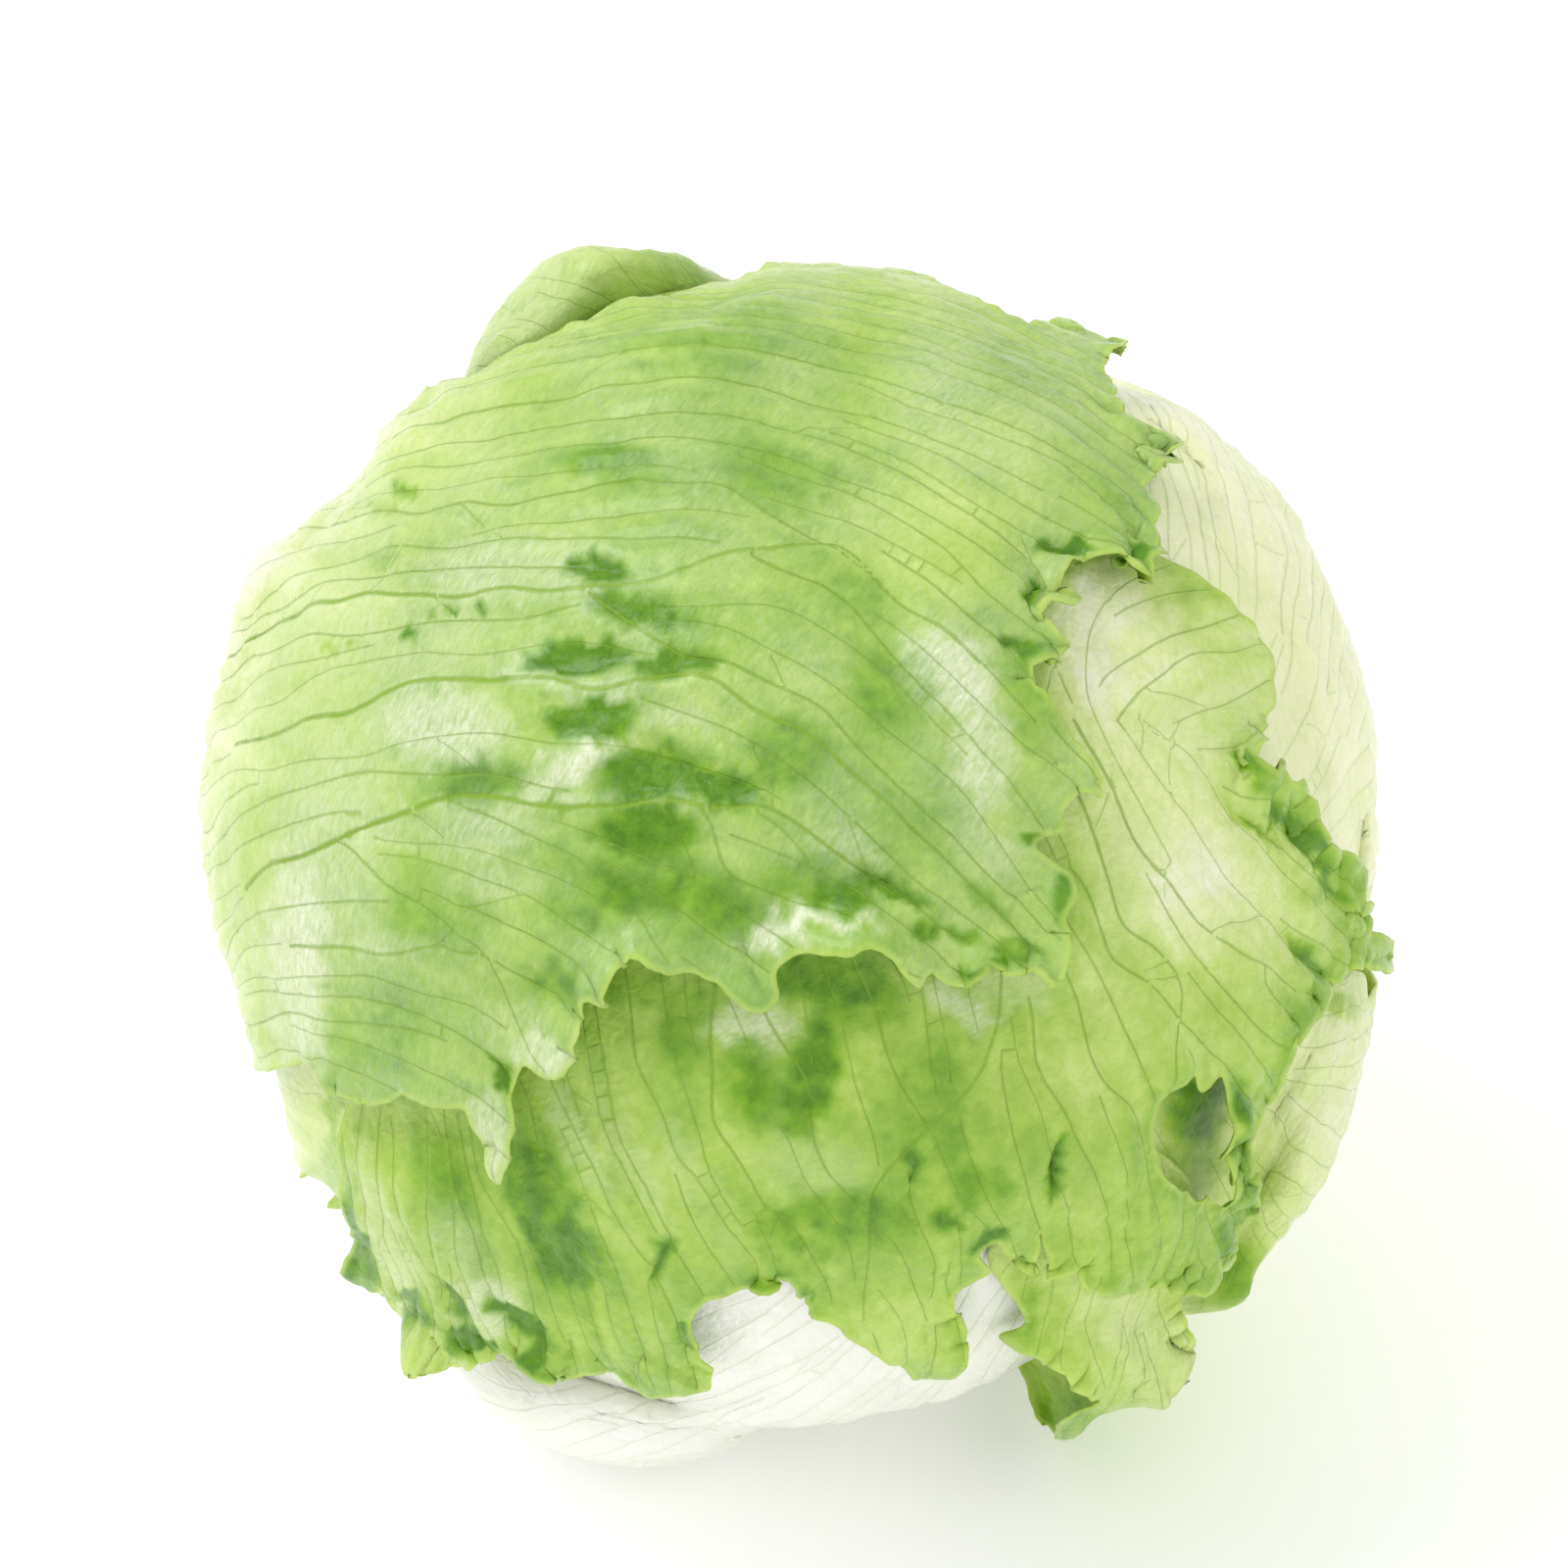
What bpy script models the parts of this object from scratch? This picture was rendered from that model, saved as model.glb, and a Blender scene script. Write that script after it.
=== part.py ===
# Iceberg lettuce: a tight pale heart wrapped in eight leaves, with its cut stem behind, low on the left.
# Lengths are millimetres in this script and metres in the scene. Angles are degrees.

import math

import bmesh
import bpy
import numpy as np
from mathutils import Vector
from mathutils.geometry import delaunay_2d_cdt

MM = 0.001

# Driving dimensions of the head
HEAD_RADIUS = 78.0
HEART_RADIUS = 72.6
HEAD_MIDDLE = (-1.9, 0.6, 72.6)
LEAF_THICKNESS = 0.95
LEAF_PITCH = 1.8
FIRST_GAP = 0.8
TUCK_REACH = 13.0

# The stem is 28 mm across and its cut face stands a little inside the ring of leaf bases
STEM_RADIUS = 14.0
STEM_TOP_RADIUS = 12.5
STEM_FOOT = 62.0
STEM_CUT = 76.0
SOCKET_RADIUS = 14.6
SOCKET_FLOOR = 61.6

# The ruffle of a free margin stands outwards only
RUFFLE_HEIGHT = 2.6
RUFFLE_WAVE = 15.0
RUFFLE_WIDTH = 7.0

# Mesh sizes
FLANK_STEP = 8.0
GRID_STEP = 7.6
GRID_MARGIN = 3.8

# The outlines are written as seen from the front, 750 mm away and 35 degrees above level
EYE_DISTANCE = 750.0
EYE_ELEVATION = math.radians(35.0)
FRONT_RIGHT = np.array((1.0, 0.0, 0.0))
FRONT_UP = np.array((0.0, math.sin(EYE_ELEVATION), math.cos(EYE_ELEVATION)))
FRONT_NEAR = np.array((0.0, -math.cos(EYE_ELEVATION), math.sin(EYE_ELEVATION)))

# Swellings and hollows of the head: off-axis angle, bearing, height and half-width
SWELLINGS = [
    (92.0, 115.0, 7.0, 9.5),
    (90.0, 134.0, -2.5, 8.0),
    (90.0, 88.0, -2.5, 12.0),
    (88.0, 30.0, 4.4, 20.0),
    (88.0, 156.0, 4.2, 10.0),
    (90.0, 204.0, -6.0, 12.0),
    (94.0, 250.0, 9.0, 13.0),
    (90.0, 281.0, -6.5, 11.0),
    (88.0, 328.0, 7.0, 13.0),
    (150.0, 155.0, -3.0, 14.0),
]


def direction(off_axis, bearing):
    """Unit vector at an angle from the line to the eye, with bearing 0 to the right and 90 up."""
    tilt = math.radians(off_axis)
    turn = math.radians(bearing)
    across = math.cos(turn) * FRONT_RIGHT + math.sin(turn) * FRONT_UP
    return math.cos(tilt) * FRONT_NEAR + math.sin(tilt) * across


STEM_AXIS = direction(150.0, 155.0)
STEM_UP = FRONT_UP - STEM_AXIS * float(FRONT_UP @ STEM_AXIS)
STEM_UP = STEM_UP / np.linalg.norm(STEM_UP)
STEM_SIDE = np.cross(STEM_AXIS, STEM_UP)


def seen(points):
    """Directions of points on the head, given as millimetres right of and above its middle in the front view."""
    found = []
    eye = FRONT_NEAR * EYE_DISTANCE
    for across, height in points:
        ray = FRONT_RIGHT * across + FRONT_UP * height - eye
        ray = ray / np.linalg.norm(ray)
        nearest = -float(eye @ ray)
        clear = eye + ray * nearest
        inside = HEAD_RADIUS ** 2 - float(clear @ clear)
        spot = clear - ray * math.sqrt(max(inside, 0.0))
        found.append(spot / np.linalg.norm(spot))
    return found


def behind(points):
    """Directions given as a clock angle round the stem, 0 up, and an angle away from the stem."""
    found = []
    for clock, away in points:
        turn = math.radians(clock)
        tilt = math.radians(away)
        side = math.cos(turn) * STEM_UP + math.sin(turn) * STEM_SIDE
        found.append(math.cos(tilt) * STEM_AXIS + math.sin(tilt) * side)
    return found


# Free margins as the front view shows them, in millimetres, each followed the way the leaf's outline runs
TOP_RIGHT_MARGIN = [
    (29, 71.5), (33, 70.5), (36.5, 70), (40, 69), (43, 68), (43, 65.5), (41.5, 64.5), (42.5, 62.5),
    (43.5, 58.5), (45, 56.5), (48, 55), (50.5, 54), (50, 51.5), (48.5, 50.5), (47, 48), (48.5, 46),
    (48.5, 42.5), (47.5, 38), (45.5, 36.5), (44, 38), (40, 39), (36.5, 38), (35.5, 35.5),
    (36.5, 33), (34, 32.5), (34.5, 29.5), (36.5, 27.5), (34.5, 25.5), (32, 24.5), (32.5, 22),
    (35, 19.5), (39, 13.5), (41, 10), (40.5, 8), (38, 8), (35.5, 5.5), (36, 3.5),
    (32.5, 1.5), (34, -0.5), (38, -3), (37.5, -7.5), (38, -11.5), (37.5, -15.5),
]
TOP_LOW_MARGIN = [
    (34.5, -17.5), (33, -16), (28.5, -16), (25.5, -14.5), (24.5, -16.5), (22, -17.5), (18.5, -16),
    (17, -17.5), (14.5, -15.5), (12.5, -13), (10, -11.5), (7, -12.5), (3.5, -12.5), (0.5, -13),
    (-1.5, -15), (-1.5, -18.5), (-4, -20.5), (-6.5, -19.5), (-9.5, -17), (-13, -15.5), (-16, -15.5),
    (-19.5, -13.5), (-22, -15), (-23.5, -19), (-26, -18.5), (-26.5, -21), (-27.5, -25.5),
    (-29, -28.5), (-32, -28.5), (-34.5, -27.5), (-36.5, -31.5), (-36, -37), (-37, -41), (-38.5, -43.5),
    (-40, -39.5), (-42.5, -33.5), (-46.5, -32.5), (-50, -31.5), (-52.5, -32.5), (-55.5, -33.5),
    (-58, -32.5), (-60.5, -31), (-62.5, -28.5),
]
TOP_CREST_MARGIN = [(-44.5, 64), (-37.5, 68.5), (-27.5, 73), (-20, 76), (-15, 78)]
FRONT_RIGHT_MARGIN = [
    (57, 35.5), (63.5, 28.5), (64.5, 22.5), (63, 17), (60.5, 12.5), (64, 10.5), (67.5, 9), (69.5, 5),
    (71, 1.5), (74, 0), (76, -2.5), (74.5, -4.5), (76, -7), (76.5, -9.5), (79.5, -12.5), (77.5, -14.5),
    (74, -15), (70.5, -17.5), (68, -21), (65, -25), (64.5, -29.5), (63, -33), (61, -36.5), (60, -40),
    (60, -42.5), (61, -46.5), (58.5, -48.5), (57.5, -52.5), (54.5, -54.5), (52, -56), (47, -56.5),
    (44, -57.5), (40, -57), (37, -55), (34, -54),
]
FRONT_LOW_MARGIN = [
    (33, -50), (32, -55), (28.5, -53), (27, -51), (25, -52.5), (26.5, -55), (24.5, -56.5), (22, -60),
    (23.5, -63), (22, -67), (20, -69.5), (17, -70), (15, -68), (12.5, -66.5), (9, -64.5),
    (5.5, -62.5), (3, -61.5), (1.5, -58.5), (-0.5, -56.5), (-3, -58), (-5.5, -57.5), (-9, -58.5),
    (-12, -59.5), (-12.5, -63.5), (-10.5, -67), (-10.5, -70), (-15, -70.5), (-19.5, -71), (-23.5, -69),
    (-27.5, -68.5), (-31.5, -67.5), (-32.5, -66), (-36, -65.5), (-39.5, -66), (-44, -65.5), (-48, -65),
    (-49.5, -69), (-51, -64.5), (-54, -61.5), (-57, -56.5), (-58, -50), (-59.5, -44.5), (-60, -39),
    (-59, -33.5),
]
TORN_MARGIN = [
    (26.5, -54), (28, -57), (31, -62), (28, -64), (33.5, -65.5), (38, -67.5), (35.5, -68.5),
    (33, -70.5), (33, -73), (34, -76.5),
]
TORN_SIDE = [(50, -70), (51, -68), (49.5, -65.5), (49.5, -61.5), (52, -55)]
LOW_RIGHT_MARGIN = [
    (42, -56), (42, -45.5), (47, -33), (56, -24), (65.5, -21), (71, -18), (75.5, -15.5), (77, -17.5),
    (78.5, -19.5),
]
LEFT_FRILL = [(-59.5, -52), (-62.5, -48), (-62, -46), (-66, -43)]

# Leaves from the innermost out: the direction of the middle of the blade, its colour and its outline
LEAVES = [
    {
        "name": "leaf_under",
        "middle": (112.0, 262.0),
        "colour": (0.80, 0.84, 0.66),
        "outline": behind([(145, 13), (165, 12.3), (185, 12.3), (205, 12.5), (222, 13.5), (230, 35), (234, 60)])
        + seen([(-66, -36), (-50, -44), (-30, -48), (0, -44), (25, -40), (40, -42)])
        + behind([(142, 130), (134, 112), (130, 92), (129, 65), (135, 38)]),
    },
    {
        "name": "leaf_right",
        "middle": (75.0, 20.0),
        "colour": (0.76, 0.82, 0.52),
        "outline": behind([(42, 13), (58, 12.5), (75, 12.5), (92, 13), (102, 30), (105, 60), (104, 90), (98, 116)])
        + seen([(66, -22), (52, -24), (40, -14), (30, 2), (24, 22), (22, 46), (22, 66)])
        + behind([(14, 84), (20, 60), (28, 38)]),
    },
    {
        "name": "leaf_left",
        "middle": (100.0, 205.0),
        "colour": (0.74, 0.80, 0.50),
        "outline": behind([(212, 13), (235, 12.5), (257, 13), (268, 32), (272, 52), (270, 75)])
        + seen([(-52, -5), (-45, -24), (-48, -42), (-55, -52)])
        + seen(LEFT_FRILL)
        + behind([(229, 70), (222, 52), (212, 32)]),
    },
    {
        "name": "leaf_low_right",
        "middle": (100.0, 318.0),
        "colour": (0.45, 0.60, 0.20),
        "outline": behind([(136, 13), (120, 12.5), (104, 13), (95, 32), (91, 58), (92, 85), (96, 106)])
        + seen(LOW_RIGHT_MARGIN[::-1])
        + seen([(47, -62)])
        + behind([(142, 104), (138, 80), (136, 55), (137, 32)]),
    },
    {
        "name": "leaf_torn",
        "middle": (100.0, 302.0),
        "colour": (0.58, 0.74, 0.20),
        "outline": behind([(140, 13.5), (126, 13.5), (122, 25), (119, 42), (120, 62), (125, 82), (135, 100)])
        + seen(TORN_SIDE)
        + seen([(54, -45), (44, -38), (30, -43)])
        + seen(TORN_MARGIN)
        + behind([(150, 98), (141, 80), (136, 62), (135, 44), (137, 27)]),
    },
    {
        "name": "leaf_front",
        "middle": (30.0, 60.0),
        "colour": (0.38, 0.56, 0.14),
        "outline": behind([(348, 13), (2, 12.5), (18, 13), (27, 30), (26, 52), (19, 72)])
        + seen([(17, 72), (27, 62), (36, 52), (44, 43)])
        + seen(FRONT_RIGHT_MARGIN)
        + seen(FRONT_LOW_MARGIN)
        + seen([(-53, -16), (-44, 14), (-29, 46), (-17, 69)])
        + behind([(340, 74), (334, 52), (337, 30)]),
    },
    {
        "name": "leaf_crown_back",
        "middle": (95.0, 115.0),
        "colour": (0.56, 0.72, 0.28),
        "outline": behind([(323, 13), (336, 12.5), (350, 13), (358, 30), (3, 52), (6, 72)])
        + seen([(8, 73), (-6, 68), (-20, 61), (-34, 54), (-46, 46)])
        + behind([(320, 70), (314, 52), (314, 36), (318, 23)]),
    },
    {
        "name": "leaf_top",
        "middle": (30.0, 150.0),
        "colour": (0.46, 0.62, 0.20),
        "outline": behind([(262, 14), (280, 12.5), (300, 12.5), (318, 12.5), (330, 14), (334, 30), (328, 45)])
        + behind([(321, 58)])
        + seen(TOP_CREST_MARGIN)
        + behind([(354, 71), (3, 77), (10, 84)])
        + seen(TOP_RIGHT_MARGIN)
        + seen(TOP_LOW_MARGIN)
        + behind([(248, 88), (243, 70), (241, 52), (245, 34)]),
    },
]


def smooth_outline(corners):
    """The closed outline through the corners, with curved steps added where they stand far apart."""
    count = len(corners)
    outline = []
    for index in range(count):
        before = corners[index - 1]
        start = corners[index]
        end = corners[(index + 1) % count]
        after = corners[(index + 2) % count]
        length = HEAD_RADIUS * float(np.linalg.norm(end - start))
        steps = max(1, round(length / FLANK_STEP))
        knots = [0.0]
        for first, second in ((before, start), (start, end), (end, after)):
            knots.append(knots[-1] + max(math.sqrt(float(np.linalg.norm(second - first))), 1e-6))
        for step in range(steps):
            place = knots[1] + (knots[2] - knots[1]) * step / steps
            outline.append(curve_point((before, start, end, after), knots, place))
    outline = np.array(outline)
    return outline / np.linalg.norm(outline, axis=1, keepdims=True)


def curve_point(points, knots, place):
    """A point of the centripetal Catmull-Rom curve through four points."""
    level = list(points)
    for span in (1, 2, 3):
        level = [
            blend_points(level[index], level[index + 1], knots, index, span, place)
            for index in range(len(level) - 1)
        ]
        if span == 2:
            share = (place - knots[1]) / (knots[2] - knots[1])
            return level[0] * (1.0 - share) + level[1] * share
    return level[0]


def blend_points(first, second, knots, index, span, place):
    share = (place - knots[index]) / (knots[index + span] - knots[index])
    return first * (1.0 - share) + second * share


def chart_axes(middle):
    """Right, up and outward directions of a leaf's flat chart, with up leading away from the stem."""
    outward = direction(*middle)
    up = outward * float(outward @ STEM_AXIS) - STEM_AXIS
    up = up / np.linalg.norm(up)
    return np.cross(up, outward), up, outward


def to_chart(directions, axes):
    """Flat chart places of directions, true to distance and bearing from the middle of the leaf."""
    right, up, outward = axes
    across = directions @ right
    along = directions @ up
    spread = np.hypot(across, along)
    angle = np.arctan2(spread, directions @ outward)
    scale = HEAD_RADIUS * angle / np.maximum(spread, 1e-9)
    return np.stack((across * scale, along * scale), axis=1)


def from_chart(places, axes):
    """Directions of flat chart places."""
    right, up, outward = axes
    reach = np.hypot(places[:, 0], places[:, 1])
    angle = reach / HEAD_RADIUS
    scale = np.sin(angle) / np.maximum(reach, 1e-9)
    flat = places[:, :1] * right + places[:, 1:] * up
    return flat * scale[:, None] + np.cos(angle)[:, None] * outward


def inside_outline(places, outline):
    """True where a chart place lies inside the closed outline."""
    inside = np.zeros(len(places), dtype=bool)
    for start, end in zip(outline, np.roll(outline, -1, axis=0)):
        crosses = (start[1] > places[:, 1]) != (end[1] > places[:, 1])
        rise = end[1] - start[1]
        if abs(rise) < 1e-12:
            continue
        level = start[0] + (places[:, 1] - start[1]) * (end[0] - start[0]) / rise
        inside ^= crosses & (places[:, 0] < level)
    return inside


def margin_distance(directions, outline):
    """Distance in millimetres to the outline, and how far along the outline the nearest point is."""
    spots = directions * HEAD_RADIUS
    starts = outline * HEAD_RADIUS
    runs = np.roll(starts, -1, axis=0) - starts
    lengths = np.linalg.norm(runs, axis=1)
    travelled = np.concatenate(((0.0,), np.cumsum(lengths)[:-1]))
    nearest = np.full(len(spots), 1e9)
    along = np.zeros(len(spots))
    for start, run, length, offset in zip(starts, runs, lengths, travelled):
        share = np.clip((spots - start) @ run / max(length * length, 1e-9), 0.0, 1.0)
        gap = np.linalg.norm(spots - start - share[:, None] * run, axis=1)
        closer = gap < nearest
        nearest = np.where(closer, gap, nearest)
        along = np.where(closer, offset + share * length, along)
    return nearest, along


def signed_area(outline):
    """Area of a closed outline, positive where it runs anticlockwise."""
    after = np.roll(outline, -1, axis=0)
    return 0.5 * float(np.sum(outline[:, 0] * after[:, 1] - after[:, 0] * outline[:, 1]))


def prepare_leaf(leaf):
    """Adds a leaf's chart, its fine outline and that outline's chart places."""
    leaf["axes"] = chart_axes(leaf["middle"])
    leaf["rim"] = smooth_outline(leaf["outline"])
    leaf["flat_rim"] = to_chart(leaf["rim"], leaf["axes"])
    if signed_area(leaf["flat_rim"]) < 0.0:
        leaf["rim"] = leaf["rim"][::-1]
        leaf["flat_rim"] = leaf["flat_rim"][::-1]


def coverage(leaf, directions):
    """1 under or over the leaf's blade, falling smoothly to 0 a tuck's reach outside it."""
    distance, _ = margin_distance(directions, leaf["rim"])
    inside = inside_outline(to_chart(directions, leaf["axes"]), leaf["flat_rim"])
    share = np.where(inside, 1.0, np.clip(1.0 - distance / TUCK_REACH, 0.0, 1.0))
    return share * share * (3.0 - 2.0 * share)


def head_form(directions):
    """Radius of the heart's skin in each direction."""
    radius = np.full(len(directions), HEART_RADIUS)
    for off_axis, bearing, height, width in SWELLINGS:
        near = np.clip(directions @ direction(off_axis, bearing), -1.0, 1.0)
        radius += height * np.exp(-0.5 * (np.degrees(np.arccos(near)) / width) ** 2)
    return radius


def ruffle(leaf, directions, exposure):
    """How far a free margin waves outwards."""
    distance, along = margin_distance(directions, leaf["rim"])
    wave = 0.5 + 0.5 * np.sin(2.0 * math.pi * along / RUFFLE_WAVE)
    return RUFFLE_HEIGHT * wave * np.exp(-((distance / RUFFLE_WIDTH) ** 2)) * exposure ** 2


def rest_on_floor(spots, lift):
    """Keeps points above the flat spot that the head rests on."""
    spots[:, 2] = np.maximum(spots[:, 2], -HEAD_MIDDLE[2] + lift)
    return spots


def leaf_surface(number, directions):
    """Inner skin of one leaf, laid over all the leaves inside it."""
    level = np.full(len(directions), FIRST_GAP)
    for inner in LEAVES[:number]:
        level += LEAF_PITCH * coverage(inner, directions)
    exposure = np.ones(len(directions))
    lift = np.full(len(directions), LEAF_THICKNESS)
    for outer in LEAVES[number + 1:]:
        share = coverage(outer, directions)
        exposure *= 1.0 - share
        lift += LEAF_PITCH * share
    level += ruffle(LEAVES[number], directions, exposure)
    spots = directions * (head_form(directions) + level)[:, None]
    return rest_on_floor(spots, lift)


def leaf_mesh(number):
    """Triangles of one leaf: its outline with an even grid of points inside."""
    leaf = LEAVES[number]
    rim = leaf["flat_rim"]
    low = rim.min(axis=0)
    high = rim.max(axis=0)
    rows = np.arange(low[1], high[1], GRID_STEP * math.sqrt(0.75))
    places = []
    for row_number, row in enumerate(rows):
        shift = GRID_STEP * 0.5 * (row_number % 2)
        for column in np.arange(low[0] + shift, high[0], GRID_STEP):
            places.append((column, row))
    places = np.array(places)
    places = places[inside_outline(places, rim)]
    distance, _ = margin_distance(from_chart(places, leaf["axes"]), leaf["rim"])
    places = np.concatenate((rim, places[distance > GRID_MARGIN]))
    edges = [(index, (index + 1) % len(rim)) for index in range(len(rim))]
    vertices, _, faces, _, _, _ = delaunay_2d_cdt([tuple(place) for place in places], edges, [], 0, 1e-5, False)
    flat = np.array([tuple(vertex) for vertex in vertices])
    faces = np.array([tuple(face) for face in faces])
    faces = faces[inside_outline(flat[faces].mean(axis=1), rim)]
    spots = leaf_surface(number, from_chart(flat, leaf["axes"]))
    return spots + np.array(HEAD_MIDDLE), faces


def principled(name, colour, roughness):
    """A plain Principled material."""
    material = bpy.data.materials.new(name)
    material.use_nodes = True
    shader = material.node_tree.nodes["Principled BSDF"]
    shader.inputs["Base Color"].default_value = (*colour, 1.0)
    shader.inputs["Roughness"].default_value = roughness
    shader.inputs["Metallic"].default_value = 0.0
    return material


def add_object(name, mesh, material, collection):
    """Links a mesh as a named object with its own material."""
    body = bpy.data.objects.new(name, mesh)
    mesh.materials.append(material)
    collection.objects.link(body)
    return body


def make_leaf(number, collection):
    """One leaf: an open draped surface made a blade by Solidify."""
    leaf = LEAVES[number]
    spots, faces = leaf_mesh(number)
    mesh = bpy.data.meshes.new(leaf["name"])
    mesh.from_pydata([tuple(spot * MM) for spot in spots], [], faces.tolist())
    mesh.update()
    face_outwards(mesh)
    body = add_object(leaf["name"], mesh, principled(leaf["name"], leaf["colour"], 0.45), collection)
    blade = body.modifiers.new("Blade", "SOLIDIFY")
    blade.thickness = LEAF_THICKNESS * MM
    blade.offset = 1.0
    return body


def face_outwards(mesh):
    """Turns an open surface so that its front faces away from the middle of the head."""
    shell = bmesh.new()
    shell.from_mesh(mesh)
    bmesh.ops.recalc_face_normals(shell, faces=shell.faces)
    middle = np.array(HEAD_MIDDLE) * MM
    outward = sum(float(np.array(face.normal) @ (np.array(face.calc_center_median()) - middle))
                  for face in shell.faces)
    if outward < 0.0:
        bmesh.ops.reverse_faces(shell, faces=shell.faces)
    shell.to_mesh(mesh)
    shell.free()


def make_heart(collection):
    """The tightly packed inner leaves as one solid, hollowed where the stem sits."""
    shell = bmesh.new()
    bmesh.ops.create_icosphere(shell, subdivisions=4, radius=1.0)
    directions = np.array([tuple(vertex.co.normalized()) for vertex in shell.verts])
    spots = directions * head_form(directions)[:, None]
    lift = np.full(len(directions), FIRST_GAP)
    for leaf in LEAVES:
        lift += LEAF_PITCH * coverage(leaf, directions)
    spots = rest_on_floor(spots, lift)
    for vertex, spot in zip(shell.verts, spots):
        vertex.co = (spot + np.array(HEAD_MIDDLE)) * MM
    mesh = bpy.data.meshes.new("heart")
    shell.to_mesh(mesh)
    shell.free()
    heart = add_object("heart", mesh, principled("heart", (0.86, 0.87, 0.62), 0.5), collection)
    socket = stem_post("stem_socket", SOCKET_RADIUS, SOCKET_RADIUS, SOCKET_FLOOR, HEAD_RADIUS + 20.0, 24)
    socket.hide_render = True
    socket.display_type = "WIRE"
    collection.objects.link(socket)
    cut = heart.modifiers.new("Stem socket", "BOOLEAN")
    cut.operation = "DIFFERENCE"
    cut.object = socket
    cut.solver = "EXACT"
    return heart


def stem_post(name, foot_radius, top_radius, foot, top, sides):
    """A slightly tapered post along the stem's axis, between two distances from the middle of the head."""
    shell = bmesh.new()
    bmesh.ops.create_cone(
        shell, cap_ends=True, segments=sides, radius1=foot_radius * MM, radius2=top_radius * MM,
        depth=(top - foot) * MM,
    )
    mesh = bpy.data.meshes.new(name)
    shell.to_mesh(mesh)
    shell.free()
    post = bpy.data.objects.new(name, mesh)
    post.location = (np.array(HEAD_MIDDLE) + STEM_AXIS * 0.5 * (foot + top)) * MM
    post.rotation_mode = "QUATERNION"
    post.rotation_quaternion = axis_turn(STEM_AXIS)
    return post


def axis_turn(axis):
    """The rotation that carries +Z to the axis."""
    return Vector(axis).to_track_quat("Z", "Y")


def make_stem(collection):
    """The cut stem, with a small bevel round its cut face."""
    stem = stem_post("stem", STEM_RADIUS, STEM_TOP_RADIUS, STEM_FOOT, STEM_CUT, 28)
    stem.data.materials.append(principled("stem", (0.84, 0.80, 0.64), 0.6))
    collection.objects.link(stem)
    bevel = stem.modifiers.new("Worn edge", "BEVEL")
    bevel.width = 1.0 * MM
    bevel.segments = 2
    bevel.limit_method = "ANGLE"
    return stem


def main():
    for item in list(bpy.data.objects):
        bpy.data.objects.remove(item, do_unlink=True)
    collection = bpy.data.collections.new("iceberg_lettuce")
    bpy.context.scene.collection.children.link(collection)
    for leaf in LEAVES:
        prepare_leaf(leaf)
    make_stem(collection)
    make_heart(collection)
    for number in range(len(LEAVES)):
        make_leaf(number, collection)


main()
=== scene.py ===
# Iceberg lettuce lying on a white table: the looks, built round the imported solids.
# Lengths are millimetres until a mesh is made, and angles are degrees.

import math

import bpy
import numpy as np
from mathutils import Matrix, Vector
from mathutils.geometry import delaunay_2d_cdt
from mathutils.kdtree import KDTree


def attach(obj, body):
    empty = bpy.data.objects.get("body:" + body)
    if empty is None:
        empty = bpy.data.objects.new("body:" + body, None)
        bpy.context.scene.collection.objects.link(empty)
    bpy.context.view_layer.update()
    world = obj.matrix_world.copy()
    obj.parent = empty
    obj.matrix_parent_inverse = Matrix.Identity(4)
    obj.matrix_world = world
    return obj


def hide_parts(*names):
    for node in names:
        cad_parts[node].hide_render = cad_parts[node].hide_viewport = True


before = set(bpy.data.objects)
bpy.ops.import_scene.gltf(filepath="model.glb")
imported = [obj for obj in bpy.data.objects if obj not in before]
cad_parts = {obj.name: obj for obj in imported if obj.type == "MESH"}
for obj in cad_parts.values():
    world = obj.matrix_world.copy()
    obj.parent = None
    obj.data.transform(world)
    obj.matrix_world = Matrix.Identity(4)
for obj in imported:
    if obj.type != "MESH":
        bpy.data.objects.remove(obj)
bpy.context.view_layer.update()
mm = 0.001

# The head, with the driving sizes of its solids
head = {
    "middle": np.array((-1.9, 0.6, 72.6)),
    "radius": 78.0,          # the skin of the outer leaves
    "heartRadius": 72.6,     # the skin of the tight inner head
    "bladePitch": 1.8,       # from one leaf to the next over it
    "firstGap": 0.8,         # between the heart and the first leaf
    "tuckReach": 13.0,       # how far outside a leaf's outline the next one settles
}

# The photograph looks down 35 degrees from 0.75 m
view = {
    "distance": 750.0,
    "elevation": 35.0,
    "lens": 129.4,
    "aimRight": -0.8,
    "aimUp": 9.4,
    "limb": 74.0,            # off-axis angle up to which places stay where they were read
    "limbFade": 45.0,        # and how far beyond it they let go
}

tilt = math.radians(view["elevation"])
frontRight = np.array((1.0, 0.0, 0.0))
frontUp = np.array((0.0, math.sin(tilt), math.cos(tilt)))
frontNear = np.array((0.0, -math.cos(tilt), math.sin(tilt)))

# Swellings and hollows of the head: off-axis angle, bearing, height and half-width.
# The first is the crown's, set by the photograph's outline
swellings = [
    (92.0, 112.0, 6.4, 10.5),
    (90.0, 134.0, -2.5, 8.0),
    (90.0, 88.0, -2.5, 12.0),
    (88.0, 30.0, 4.4, 20.0),
    (88.0, 156.0, 4.2, 10.0),
    (90.0, 204.0, -6.0, 12.0),
    (94.0, 250.0, 9.0, 13.0),
    (90.0, 281.0, -6.5, 11.0),
    (88.0, 328.0, 7.0, 13.0),
    (150.0, 155.0, -3.0, 14.0),
]


def unit(vector):
    return vector / np.linalg.norm(vector)


def unitRows(rows):
    return rows / np.maximum(np.linalg.norm(rows, axis=1, keepdims=True), 1e-9)


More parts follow.
